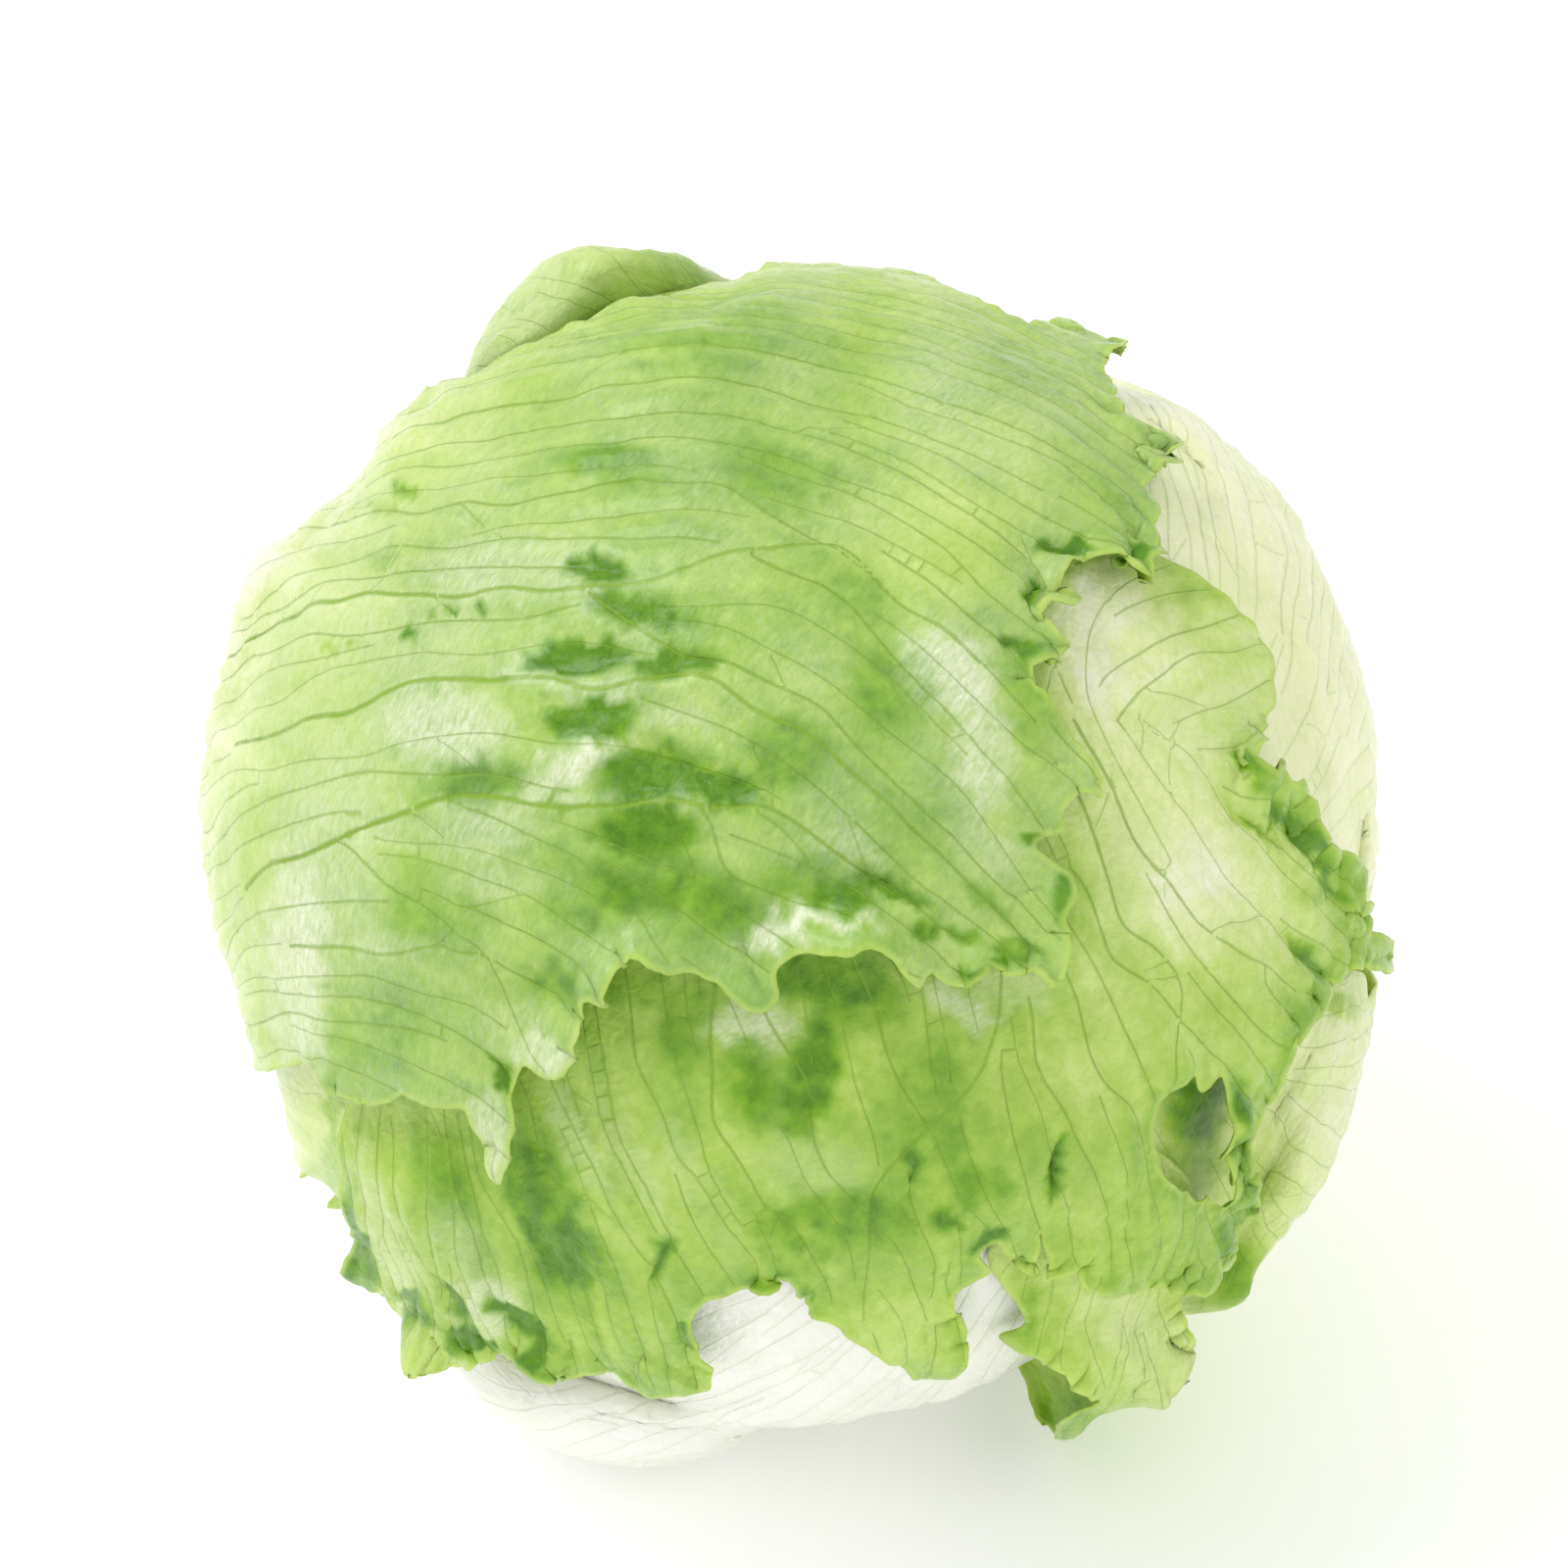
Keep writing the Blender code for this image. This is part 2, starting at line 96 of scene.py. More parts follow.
def turned(degrees, ahead, aside):
    # the first direction turned towards the second
    turn = math.radians(degrees)
    return math.cos(turn) * ahead + math.sin(turn) * aside


def direction(offAxis, bearing):
    # 0 off-axis points at the eye; bearing 0 is right and 90 is up
    return turned(offAxis, frontNear, turned(bearing, frontRight, frontUp))


stemAxis = direction(150.0, 155.0)
stemUp = unit(frontUp - stemAxis * float(frontUp @ stemAxis))
stemSide = np.cross(stemAxis, stemUp)


def seen(points):
    # directions of places on the head, from millimetres right of and above its middle in the front view
    found = []
    eye = frontNear * view["distance"]
    for across, height in points:
        ray = unit(frontRight * across + frontUp * height - eye)
        clear = eye - ray * float(eye @ ray)
        inside = head["radius"] ** 2 - float(clear @ clear)
        found.append(unit(clear - ray * math.sqrt(max(inside, 0.0))))
    return found


def behind(points):
    # directions from a clock angle round the stem, 0 up, and an angle away from the stem
    return [turned(away, stemAxis, turned(clock, stemUp, stemSide)) for clock, away in points]


# Free margins in front-view millimetres
topRightMargin = [
    (29, 71.5), (33, 70.5), (36.5, 70), (40, 69), (43, 68), (43, 65.5), (41.5, 64.5), (42.5, 62.5),
    (43.5, 58.5), (45, 56.5), (48, 55), (50.5, 54), (50, 51.5), (48.5, 50.5), (47, 48), (48.5, 46),
    (48.5, 42.5), (47.5, 38), (45.5, 36.5), (44, 38), (40, 39), (36.5, 38), (35.5, 35.5),
    (36.5, 33), (34, 32.5), (34.5, 29.5), (36.5, 27.5), (34.5, 25.5), (32, 24.5), (32.5, 22),
    (35, 19.5), (39, 13.5), (41, 10), (40.5, 8), (38, 8), (35.5, 5.5), (36, 3.5),
    (32.5, 1.5), (34, -0.5), (36.8, -3), (36.2, -7.5), (36.6, -11.5), (36.2, -15.5),
]
topLowMargin = [
    (34.5, -17.5), (33, -16), (28.5, -16), (25.5, -14.5), (24.5, -16.5), (22, -17.5), (18.5, -16),
    (17, -17.5), (14.5, -15.5), (12.5, -13), (10, -11.5), (7, -12.5), (3.5, -12.5), (0.5, -13),
    (-1.5, -15), (-1.5, -18.5), (-4, -20.5), (-6.5, -19.5), (-9.5, -17), (-13, -15.5), (-16, -15.5),
    (-19.5, -13.5), (-22, -15), (-23.5, -19), (-26, -18.5), (-26.5, -21), (-27.5, -25.5),
    (-29, -28.5), (-32, -28.5), (-34.5, -27.5), (-36.5, -31.5), (-36, -37), (-37, -41), (-38.5, -43.5),
    (-40, -39.5), (-42.5, -33.5), (-46.5, -32.5), (-50, -31.5), (-52.5, -32.5), (-55.5, -33.5),
    (-58, -32.5), (-60.5, -31), (-62.5, -28.5),
]
topCrestMargin = [(-44, 62.5), (-36.5, 66.5), (-27, 71), (-19, 74.5), (-12.5, 76.6), (-5, 78.2)]
frontRightMargin = [
    (57, 35.5), (63.5, 28.5), (64.5, 22.5), (63, 17), (60.5, 12.5), (64, 10.5), (67.5, 9), (69.5, 5),
    (71, 1.5), (74, 0), (76, -2.5), (74.5, -4.5), (76, -7), (76.5, -9.5), (79.5, -12.5), (77.5, -14.5),
    (74, -15), (70.5, -17.5), (68, -21), (65, -25), (64.5, -29.5), (63, -33), (61, -36.5), (60, -40),
    (60, -42.5), (61, -46.5), (58.5, -48.5), (57.5, -52.5), (54.5, -54.5), (52, -56), (47, -56.5),
    (44, -57.5), (40, -57), (37, -55), (34, -54),
]
frontLowMargin = [
    (33, -50), (32, -55), (28.5, -53), (27, -51), (25, -52.5), (26.5, -55), (24.5, -56.5), (22, -60),
    (23.5, -63), (22, -67), (20, -69.5), (17, -70), (15, -68), (12.5, -66.5), (9, -64.5),
    (5.5, -62.5), (3, -61.5), (1.5, -58.5), (-0.5, -56.5), (-3, -58), (-5.5, -57.5), (-9, -58.5),
    (-12, -59.5), (-12.5, -63.5), (-10.5, -67), (-10.5, -70), (-15, -70.5), (-19.5, -71), (-23.5, -69),
    (-27.5, -68.5), (-31.5, -67.5), (-32.5, -66), (-36, -65.5), (-39.5, -66), (-44, -65.5), (-48, -65),
    (-49.5, -69), (-51, -64.5), (-54, -61.5), (-57, -56.5), (-58, -50), (-59.5, -44.5), (-60, -39),
    (-59, -33.5),
]
tornMargin = [
    (26.5, -54), (28, -57), (31, -62), (28, -64), (33.5, -65.5), (38, -67.5), (35.5, -68.5),
    (33, -70.5), (33, -73), (34, -76.5),
]
tornSide = [(50, -70), (51, -68), (49.5, -65.5), (49.5, -61.5), (52, -55)]
lowRightMargin = [
    (42, -56), (42, -45.5), (47, -33), (56, -24), (65.5, -21), (71, -18), (75.5, -15.5), (77, -17.5),
    (78.5, -19.5),
]
leftFrill = [(-59.5, -52), (-62.5, -48), (-62, -46), (-66, -43)]

# Leaves from the innermost out
leaves = [
    {
        "name": "leaf_under",
        "slot": "leaf_white",
        "middle": (112.0, 262.0),
        "clock": 182.0,
        "outline": behind([(145, 13), (165, 12.3), (185, 12.3), (205, 12.5), (222, 13.5), (230, 35), (234, 60)])
        + seen([(-66, -36), (-50, -44), (-30, -48), (0, -44), (25, -40), (40, -42)])
        + behind([(142, 130), (134, 112), (130, 92), (129, 65), (135, 38)]),
        "green": {"base": 0.02, "tip": 0.10, "from": 30.0, "to": 130.0},
    },
    {
        "name": "leaf_right",
        "slot": "leaf_pale",
        "middle": (75.0, 20.0),
        "clock": 66.0,
        "outline": behind([(42, 13), (58, 12.5), (75, 12.5), (92, 13), (102, 30), (105, 60), (104, 90), (98, 116)])
        + seen([(66, -22), (52, -24), (40, -14), (30, 2), (24, 22), (22, 46), (22, 66)])
        + behind([(14, 84), (20, 60), (28, 38)]),
        "green": {"base": 0.03, "tip": 0.24, "from": 40.0, "to": 150.0},
    },
    {
        "name": "leaf_left",
        "slot": "leaf_pale",
        "middle": (100.0, 205.0),
        "clock": 238.0,
        "outline": behind([(212, 13), (235, 12.5), (257, 13), (268, 32), (272, 52), (270, 75)])
        + seen([(-52, -5), (-45, -24), (-48, -42), (-55, -52)])
        + seen(leftFrill)
        + behind([(229, 70), (222, 52), (212, 32)]),
        "green": {"base": 0.02, "tip": 0.55, "from": 50.0, "to": 95.0},
    },
    {
        "name": "leaf_low_right",
        "slot": "leaf_green",
        "middle": (100.0, 318.0),
        "clock": 118.0,
        "outline": behind([(136, 13), (120, 12.5), (104, 13), (95, 32), (91, 58), (92, 85), (96, 106)])
        + seen(lowRightMargin[::-1])
        + seen([(47, -62)])
        + behind([(142, 104), (138, 80), (136, 55), (137, 32)]),
        "green": {"base": 0.05, "tip": 0.30, "from": 40.0, "to": 125.0},
    },
    {
        "name": "leaf_torn",
        "slot": "leaf_green",
        "middle": (100.0, 302.0),
        "clock": 130.0,
        "outline": behind([(140, 13.5), (126, 13.5), (122, 25), (119, 42), (120, 62), (125, 82), (135, 100)])
        + seen(tornSide)
        + seen([(54, -45), (44, -38), (30, -43)])
        + seen(tornMargin)
        + behind([(150, 98), (141, 80), (136, 62), (135, 44), (137, 27)]),
        "green": {"base": 0.05, "tip": 0.50, "from": 40.0, "to": 120.0},
    },
    {
        "name": "leaf_front",
        "slot": "leaf_green",
        "middle": (30.0, 60.0),
        "clock": 3.0,
        "outline": behind([(348, 13), (2, 12.5), (18, 13), (27, 30), (26, 52), (19, 72)])
        + seen([(17, 72), (27, 62), (36, 52), (44, 43)])
        + seen(frontRightMargin)
        + seen(frontLowMargin)
        + seen([(-53, -16), (-44, 14), (-29, 46), (-17, 69)])
        + behind([(340, 74), (334, 52), (337, 30)]),
        "green": {"base": 0.05, "tip": 0.66, "from": 40.0, "to": 120.0},
    },
    {
        "name": "leaf_crown_back",
        "slot": "leaf_green",
        "middle": (95.0, 115.0),
        "clock": 340.0,
        "outline": behind([(323, 13), (336, 12.5), (350, 13), (358, 30), (3, 52), (6, 72)])
        + seen([(8, 73), (-6, 68), (-20, 61), (-34, 54), (-46, 46)])
        + behind([(320, 70), (314, 52), (314, 36), (318, 23)]),
        "green": {"base": 0.05, "tip": 0.66, "from": 30.0, "to": 85.0},
    },
    {
        "name": "leaf_top",
        "slot": "leaf_green",
        "middle": (30.0, 150.0),
        "clock": 296.0,
        "outline": behind([(262, 14), (280, 12.5), (300, 12.5), (318, 12.5), (330, 14), (334, 30), (328, 45)])
        + behind([(321, 58)])
        + seen(topCrestMargin)
        + behind([(3, 77), (10, 84)])
        + seen(topRightMargin)
        + seen(topLowMargin)
        + behind([(248, 88), (243, 70), (241, 52), (245, 34)]),
        "green": {"base": 0.05, "tip": 0.70, "from": 45.0, "to": 115.0},
    },
]


def smoothOutline(corners, step):
    # centripetal Catmull-Rom through the corners, with points a step apart
    around = [corners[-1]] + corners + corners[:2]
    outline = []
    for index in range(len(corners)):
        outline += curveThrough(around[index:index + 4], step, head["radius"])
    return unitRows(np.array(outline))


def curveThrough(four, step, scale=1.0):
    # points between the second and third of four points
    knots = [0.0]
    for first, second in zip(four, four[1:]):
        knots.append(knots[-1] + max(math.sqrt(float(np.linalg.norm(second - first))), 1e-6))
    steps = max(1, round(scale * float(np.linalg.norm(four[2] - four[1])) / step))
    found = []
    for number in range(steps):
        share = number / steps
        place = knots[1] + (knots[2] - knots[1]) * share
        row = list(four)
        for span in (1, 2):
            row = [mixPoints(row, knots, index, span, place) for index in range(len(row) - 1)]
        found.append(row[0] * (1.0 - share) + row[1] * share)
    return found


def mixPoints(row, knots, index, span, place):
    part = (place - knots[index]) / (knots[index + span] - knots[index])
    return row[index] * (1.0 - part) + row[index + 1] * part


def openCurve(points, step):
    # a smooth open line through the points
    points = [np.array(point, float) for point in points]
    ends = [2.0 * points[0] - points[1]] + points + [2.0 * points[-1] - points[-2]]
    line = []
    for index in range(len(points) - 1):
        line += curveThrough(ends[index:index + 4], step)
    line.append(points[-1])
    return np.array(line)


def chartAxes(middle):
    # right, up and outward of a leaf's flat chart, with up leading away from the stem
    outward = direction(*middle)
    up = unit(outward * float(outward @ stemAxis) - stemAxis)
    return np.cross(up, outward), up, outward


def toChart(directions, axes):
    right, up, outward = axes
    across = directions @ right
    along = directions @ up
    spread = np.hypot(across, along)
    angle = np.arctan2(spread, directions @ outward)
    scale = head["radius"] * angle / np.maximum(spread, 1e-9)
    return np.stack((across * scale, along * scale), axis=1)


def fromChart(places, axes):
    right, up, outward = axes
    reach = np.hypot(places[:, 0], places[:, 1])
    angle = reach / head["radius"]
    scale = np.sin(angle) / np.maximum(reach, 1e-9)
    flat = places[:, :1] * right + places[:, 1:] * up
    return flat * scale[:, None] + np.cos(angle)[:, None] * outward


def insideOutline(places, outline):
    inside = np.zeros(len(places), dtype=bool)
    for start, end in zip(outline, np.roll(outline, -1, axis=0)):
        rise = end[1] - start[1]
        if abs(rise) < 1e-12:
            continue
        crosses = (start[1] > places[:, 1]) != (end[1] > places[:, 1])
        level = start[0] + (places[:, 1] - start[1]) * (end[0] - start[0]) / rise
        inside ^= crosses & (places[:, 0] < level)
    return inside


def marginDistance(directions, outline):
    # distance to the outline, and how far along it the nearest point is
    spots = directions * head["radius"]
    starts = outline * head["radius"]
    runs = np.roll(starts, -1, axis=0) - starts
    lengths = np.linalg.norm(runs, axis=1)
    travelled = np.concatenate(((0.0,), np.cumsum(lengths)[:-1]))
    nearest = np.full(len(spots), 1e9)
    along = np.zeros(len(spots))
    for start, run, length, offset in zip(starts, runs, lengths, travelled):
        apart = spots - start
        share = np.clip(apart @ run / max(length * length, 1e-9), 0.0, 1.0)
        apart -= share[:, None] * run
        gap = np.einsum("ij,ij->i", apart, apart)
        closer = gap < nearest
        nearest[closer] = gap[closer]
        along[closer] = offset + share[closer] * length
    return np.sqrt(nearest), along


def planFor(table, leaf):
    return table.get(leaf["name"], [])


def smoothStep(share):
    share = np.clip(share, 0.0, 1.0)
    return share * share * (3.0 - 2.0 * share)


def hump(gap, width):
    return np.exp(-((gap / width) ** 2))


def angleTo(directions, middle):
    return np.arccos(np.clip(directions @ middle, -1.0, 1.0))


def headings(angles):
    return np.stack((np.cos(angles), np.sin(angles)), axis=1)


def closedRuns(line):
    # heading at each point of a closed line
    return unitRows(np.roll(line, -1, axis=0) - np.roll(line, 1, axis=0))


def coverage(leaf, directions):
    distance, _ = marginDistance(directions, leaf["rim"])
    inside = insideOutline(toChart(directions, leaf["axes"]), leaf["flatRim"])
    return smoothStep(np.where(inside, 1.0, 1.0 - distance / head["tuckReach"]))


def headForm(directions):
    radius = np.full(len(directions), head["heartRadius"])
    for offAxis, bearing, height, width in swellings:
        apart = np.degrees(angleTo(directions, direction(offAxis, bearing)))
        radius += height * np.exp(-0.5 * (apart / width) ** 2)
    return radius


def waves(points, length, seed, count=26):
    # smooth random field near -1 to 1 with one main wavelength, in any number of dimensions
    rng = np.random.default_rng(seed)
    points = np.asarray(points, float)
    if points.ndim == 1:
        points = points[:, None]
    across = unitRows(rng.normal(size=(count, points.shape[1])))
    turns = across * (2.0 * math.pi / length) * rng.uniform(0.75, 1.3, (count, 1))
    phases = rng.uniform(0.0, 2.0 * math.pi, count)
    return np.sin(points @ turns.T + phases).sum(axis=1) * math.sqrt(2.0 / count) * 0.6


def stemPlaces(directions, clock):
    # angle round the stem from the leaf's own clock angle, and angle away from the stem, in radians
    ahead = turned(clock, stemUp, stemSide)
    aside = np.cross(stemAxis, ahead)
    return np.arctan2(directions @ aside, directions @ ahead), angleTo(directions, stemAxis)


# Veins of the two big leaves as the photograph shows them, in front-view millimetres, with a start width
mainVeins = {
    "leaf_top": [
        (0.54, [(-75, 26), (-62, 33), (-49, 35), (-27, 35), (-14, 37.5), (-6, 40.5), (6, 40.5), (16, 33), (25, 25)]),
        (0.54, [(-74, 14), (-62, 18), (-48, 23), (-38, 23), (-25, 22), (-14, 24), (-5, 20), (12, 8), (24, -4),
                (32, -12)]),
        (0.58, [(-72, -4), (-60, 2), (-46, 7), (-27, 6.5), (-12, 6.5), (-3, 6), (8, -1), (14, -5), (24, -12)]),
        (0.40, [(-66, -12), (-52, -13), (-44, -13), (-30, -20), (-26, -25)]),
        (0.36, [(-62, 44), (-45, 46), (-26, 49), (-10, 49), (6, 40), (20, 30), (32, 18)]),
        (0.36, [(-52, 55), (-34, 60), (-15, 63), (2, 61), (18, 56), (34, 48)]),
        (0.32, [(-40, 66), (-22, 72), (-2, 74), (16, 71), (32, 65)]),
        (0.36, [(-27, 35), (-16, 28), (0, 22), (14, 10), (26, -2), (36, -12)]),
        (0.32, [(-6, 40.5), (6, 34), (18, 22), (30, 8), (36, 0)]),
        (0.32, [(-12, 6.5), (-8, -2), (0, -6), (8, -9)]),
        (0.32, [(-60, 2), (-52, -5), (-42, -12), (-36, -22), (-31, -28)]),
        (0.29, [(-46, 7), (-34, 2), (-22, -6), (-16, -14)]),
    ],
    "leaf_front": [
        (0.40, [(28, -10), (27, -24), (22, -34), (13, -42), (11, -52), (10, -62)]),
        (0.43, [(-10, -16), (-11, -26), (-8, -40), (0, -50), (6, -60)]),
        (0.36, [(-22, -15), (-19, -30), (-12, -44), (-4, -55)]),
        (0.36, [(-4, -18), (2, -30), (5, -42), (14, -52), (18, -62)]),
        (0.36, [(8, -13), (14, -28), (20, -40), (26, -50)]),
        (0.32, [(-36, -30), (-32, -42), (-26, -54), (-22, -66)]),
        (0.32, [(-44, -34), (-42, -46), (-38, -58), (-34, -66)]),
        (0.32, [(-54, -34), (-54, -46), (-51, -58)]),
        (0.43, [(37, 18), (45, 4), (56, -10), (66, -18)]),
        (0.40, [(38, 8), (44, -8), (52, -18), (50, -30), (46, -44)]),
        (0.36, [(37, -2), (44, -14), (56, -26), (62, -36)]),
        (0.32, [(36, -15), (40, -26), (46, -36), (48, -48)]),
        (0.32, [(32, -18), (34, -30), (40, -42), (42, -54)]),
        (0.32, [(44, 18), (51, 25), (63, 28)]),
    ],
}

veinPlan = {
    "spacing": 4.3,       # between the long fine veins
    "step": 0.9,
    "cell": 1.0,          # of the field that steers them
    "smear": 8,           # cells that a streak of the blade runs each way
    "pull": 0.12,         # of the direction away from the stem, against the main veins'
    "pullReach": 10.0,    # how far a main vein steers the fine ones
    "wander": 0.20,       # how far they stray from it, radians
    "wanderWave": 17.0,
    "seeds": 900,         # random places where a vein may start
    "crowd": 0.86,        # nearest start to a drawn vein, against the spacing
    "merge": 0.40,        # gap at which a vein joins a drawn one, against the spacing
    "turning": 0.35,      # how fast a vein takes up the field's heading
    "steps": 180,         # most steps each way
    "fewest": 8,          # points of the shortest vein
    "fineWidths": (0.15, 0.27),
    "linkWidth": 0.14,    # short links: width, how often, lean in degrees, bend and most steps
    "linkShare": 0.014,
    "linkLean": (22.0, 42.0),
    "linkBend": 0.10,
    "linkSteps": 12,
    # share of the veins' width on some leaves
    "faint": {"leaf_front": 0.88, "leaf_low_right": 0.5, "leaf_torn": 0.8, "leaf_crown_back": 0.6},
}


class FlowField:
    # which way the veins run in a leaf's chart, and where the blade is
    def __init__(self, leaf, samples, tangents, seed):
        self.low = leaf["flatRim"].min(axis=0) - veinPlan["cell"]
        high = leaf["flatRim"].max(axis=0) + veinPlan["cell"]
        self.size = np.ceil((high - self.low) / veinPlan["cell"]).astype(int) + 1
        columns, rows = np.meshgrid(np.arange(self.size[0]), np.arange(self.size[1]), indexing="ij")
        places = self.low + np.stack((columns.ravel(), rows.ravel()), axis=1) * veinPlan["cell"]
        here = fromChart(places, leaf["axes"])
        # away from the stem, where no vein is drawn near
        along = unitRows(np.cross(np.cross(stemAxis, here), here))
        ahead = toChart(unitRows(here - along * 0.01), leaf["axes"]) - places
        pull = veinPlan["pull"] * headings(2.0 * np.arctan2(ahead[:, 1], ahead[:, 0]))
        for sample, tangent in zip(samples, tangents):
            near = np.exp(-np.sum((places - sample) ** 2, axis=1) / (2.0 * veinPlan["pullReach"] ** 2))
            pull += near[:, None] * tangent
        self.angles = 0.5 * np.arctan2(pull[:, 1], pull[:, 0])
        self.angles += veinPlan["wander"] * waves(places, veinPlan["wanderWave"], seed)
        self.inside = insideOutline(places, leaf["flatRim"])
        self.streaks = self.smeared(places, seed + 1)

    def smeared(self, places, seed):
        # grain drawn out along the veins
        grain = np.random.default_rng(seed).normal(size=len(places))
        total = grain.copy()
        for sense in (1.0, -1.0):
            spots = places.copy()
            for _ in range(veinPlan["smear"]):
                ahead = headings(self.angles[self.cellsOf(spots)])
                back = np.sum(ahead * (spots - places), axis=1) * sense < 0.0
                ahead[back] *= -1.0
                spots = spots + ahead * sense * veinPlan["cell"]
                total += grain[self.cellsOf(spots)]
        return total / total.std()

    def cellsOf(self, places):
        cells = np.rint((places - self.low) / veinPlan["cell"]).astype(int)
        cells = np.clip(cells, 0, self.size - 1)
        return cells[:, 0] * self.size[1] + cells[:, 1]

    def streakAt(self, places):
        # between the cells' middles
        reach = (places - self.low) / veinPlan["cell"]
        first = np.clip(np.floor(reach).astype(int), 0, self.size - 2)
        share = reach - first
        values = self.streaks.reshape(self.size)
        column, row = first[:, 0], first[:, 1]
        lower = values[column, row] * (1.0 - share[:, 0]) + values[column + 1, row] * share[:, 0]
        upper = values[column, row + 1] * (1.0 - share[:, 0]) + values[column + 1, row + 1] * share[:, 0]
        return lower * (1.0 - share[:, 1]) + upper * share[:, 1]

    def cellOf(self, place):
        column = int(round((place[0] - self.low[0]) / veinPlan["cell"]))
        row = int(round((place[1] - self.low[1]) / veinPlan["cell"]))
        if 0 <= column < self.size[0] and 0 <= row < self.size[1]:
            return column * self.size[1] + row
        return None


class LineField:
    # remembers drawn veins, so that the next one keeps its distance
    def __init__(self, cell):
        self.cell = cell
        self.cells = {}
        self.points = []
        self.widths = []

    def key(self, place):
        return int(math.floor(place[0] / self.cell)), int(math.floor(place[1] / self.cell))

    def add(self, line, widths):
        for place, width in zip(line, widths):
            self.cells.setdefault(self.key(place), []).append(len(self.points))
            self.points.append((float(place[0]), float(place[1])))
            self.widths.append(float(width))

    def nearest(self, place):
        column, row = self.key(place)
        best = (1e9, -1)
        for across in (-1, 0, 1):
            for along in (-1, 0, 1):
                for index in self.cells.get((column + across, row + along), ()):
                    point = self.points[index]
                    gap = math.hypot(point[0] - place[0], point[1] - place[1])
                    if gap < best[0]:
                        best = (gap, index)
        return best


def growVeins(leaf, seed):
    # long fine veins that follow the main ones a few millimetres apart, and short links between them
    rng = np.random.default_rng(seed)
    step = veinPlan["step"]
    spacing = veinPlan["spacing"]
    drawn = LineField(spacing)
    samples = []
    tangents = []
    lines = []
    for width, points in planFor(mainVeins, leaf):
        flat = toChart(np.array(seen(points)), leaf["axes"])
        line = openCurve(flat, step)
        line += 0.5 * np.stack((waves(line, 14.0, seed + 1), waves(line, 14.0, seed + 2)), axis=1)
        lines.append(line)
        drawn.add(line, np.linspace(width, 0.5 * width, len(line)))
        runs = np.diff(line, axis=0)
        samples += list(line[:-1][::3])
        tangents += list(headings(2.0 * np.arctan2(runs[:, 1], runs[:, 0]))[::3])
    flow = FlowField(leaf, samples, tangents, seed + 3)
    low = leaf["flatRim"].min(axis=0)
    high = leaf["flatRim"].max(axis=0)
    queue = [point for line in lines for point in sideSeeds(line, spacing)]
    queue += [low + (high - low) * rng.random(2) for _ in range(veinPlan["seeds"])]
    while queue:
        start = queue.pop(0)
        cell = flow.cellOf(start)
        if cell is None or not flow.inside[cell] or drawn.nearest(start)[0] < spacing * veinPlan["crowd"]:
            continue
        line = traceVein(start, flow, drawn, step, spacing)
        if len(line) < veinPlan["fewest"]:
            continue
        width = rng.uniform(*veinPlan["fineWidths"])
        drawn.add(line, np.full(len(line), width))
        lines.append(line)
        queue = sideSeeds(line, spacing) + queue
    for line in linkVeins(lines, drawn, rng, step):
        drawn.add(line, np.full(len(line), veinPlan["linkWidth"]))
    return np.array(drawn.points), np.array(drawn.widths), flow


def sideSeeds(line, spacing):
    found = []
    for index in range(0, len(line) - 1, 5):
        run = line[index + 1] - line[index]
        aside = np.array((-run[1], run[0])) / max(float(np.linalg.norm(run)), 1e-9)
        found.append(line[index] + aside * spacing)
        found.append(line[index] - aside * spacing)
    return found


def traceVein(start, flow, drawn, step, spacing):
    halves = []
    for sense in (1.0, -1.0):
        place = np.array(start)
        heading = None
        half = []
        for _ in range(veinPlan["steps"]):
            cell = flow.cellOf(place)
            if cell is None or not flow.inside[cell]:
                break
            angle = flow.angles[cell]
            move = np.array((math.cos(angle), math.sin(angle)))
            if heading is None:
                heading = move * sense
            elif float(move @ heading) < 0.0:
                move = -move
            heading = unit(heading + veinPlan["turning"] * move)
            place = place + heading * step
            gap, index = drawn.nearest(place)
            if gap < spacing * veinPlan["merge"]:
                half.append(np.array(drawn.points[index]))
                break
            half.append(place)
        halves.append(half)
    return np.array(halves[1][::-1] + [start] + halves[0])


def linkVeins(lines, drawn, rng, step):
    # short slanting veins from one long one to the next
    links = []
    for line in lines:
        for index in range(4, len(line) - 4):
            if rng.random() > veinPlan["linkShare"]:
                continue
            run = unit(line[index + 1] - line[index])
            lean = math.radians(rng.uniform(*veinPlan["linkLean"])) * rng.choice((-1.0, 1.0))
            heading = np.array((run[0] * math.cos(lean) - run[1] * math.sin(lean),
                                run[0] * math.sin(lean) + run[1] * math.cos(lean)))
            place = line[index] + heading * step * 1.6
            link = [line[index]]
            bend = rng.uniform(-veinPlan["linkBend"], veinPlan["linkBend"])
            for _ in range(veinPlan["linkSteps"]):
                link.append(place)
                gap, near = drawn.nearest(place)
                if gap < step * 0.9 and len(link) > 5:
                    link.append(np.array(drawn.points[near]))
                    break
                heading = unit(heading + bend * np.array((-heading[1], heading[0])))
                place = place + heading * step
            else:
                continue
            links.append(np.array(link))
    return links


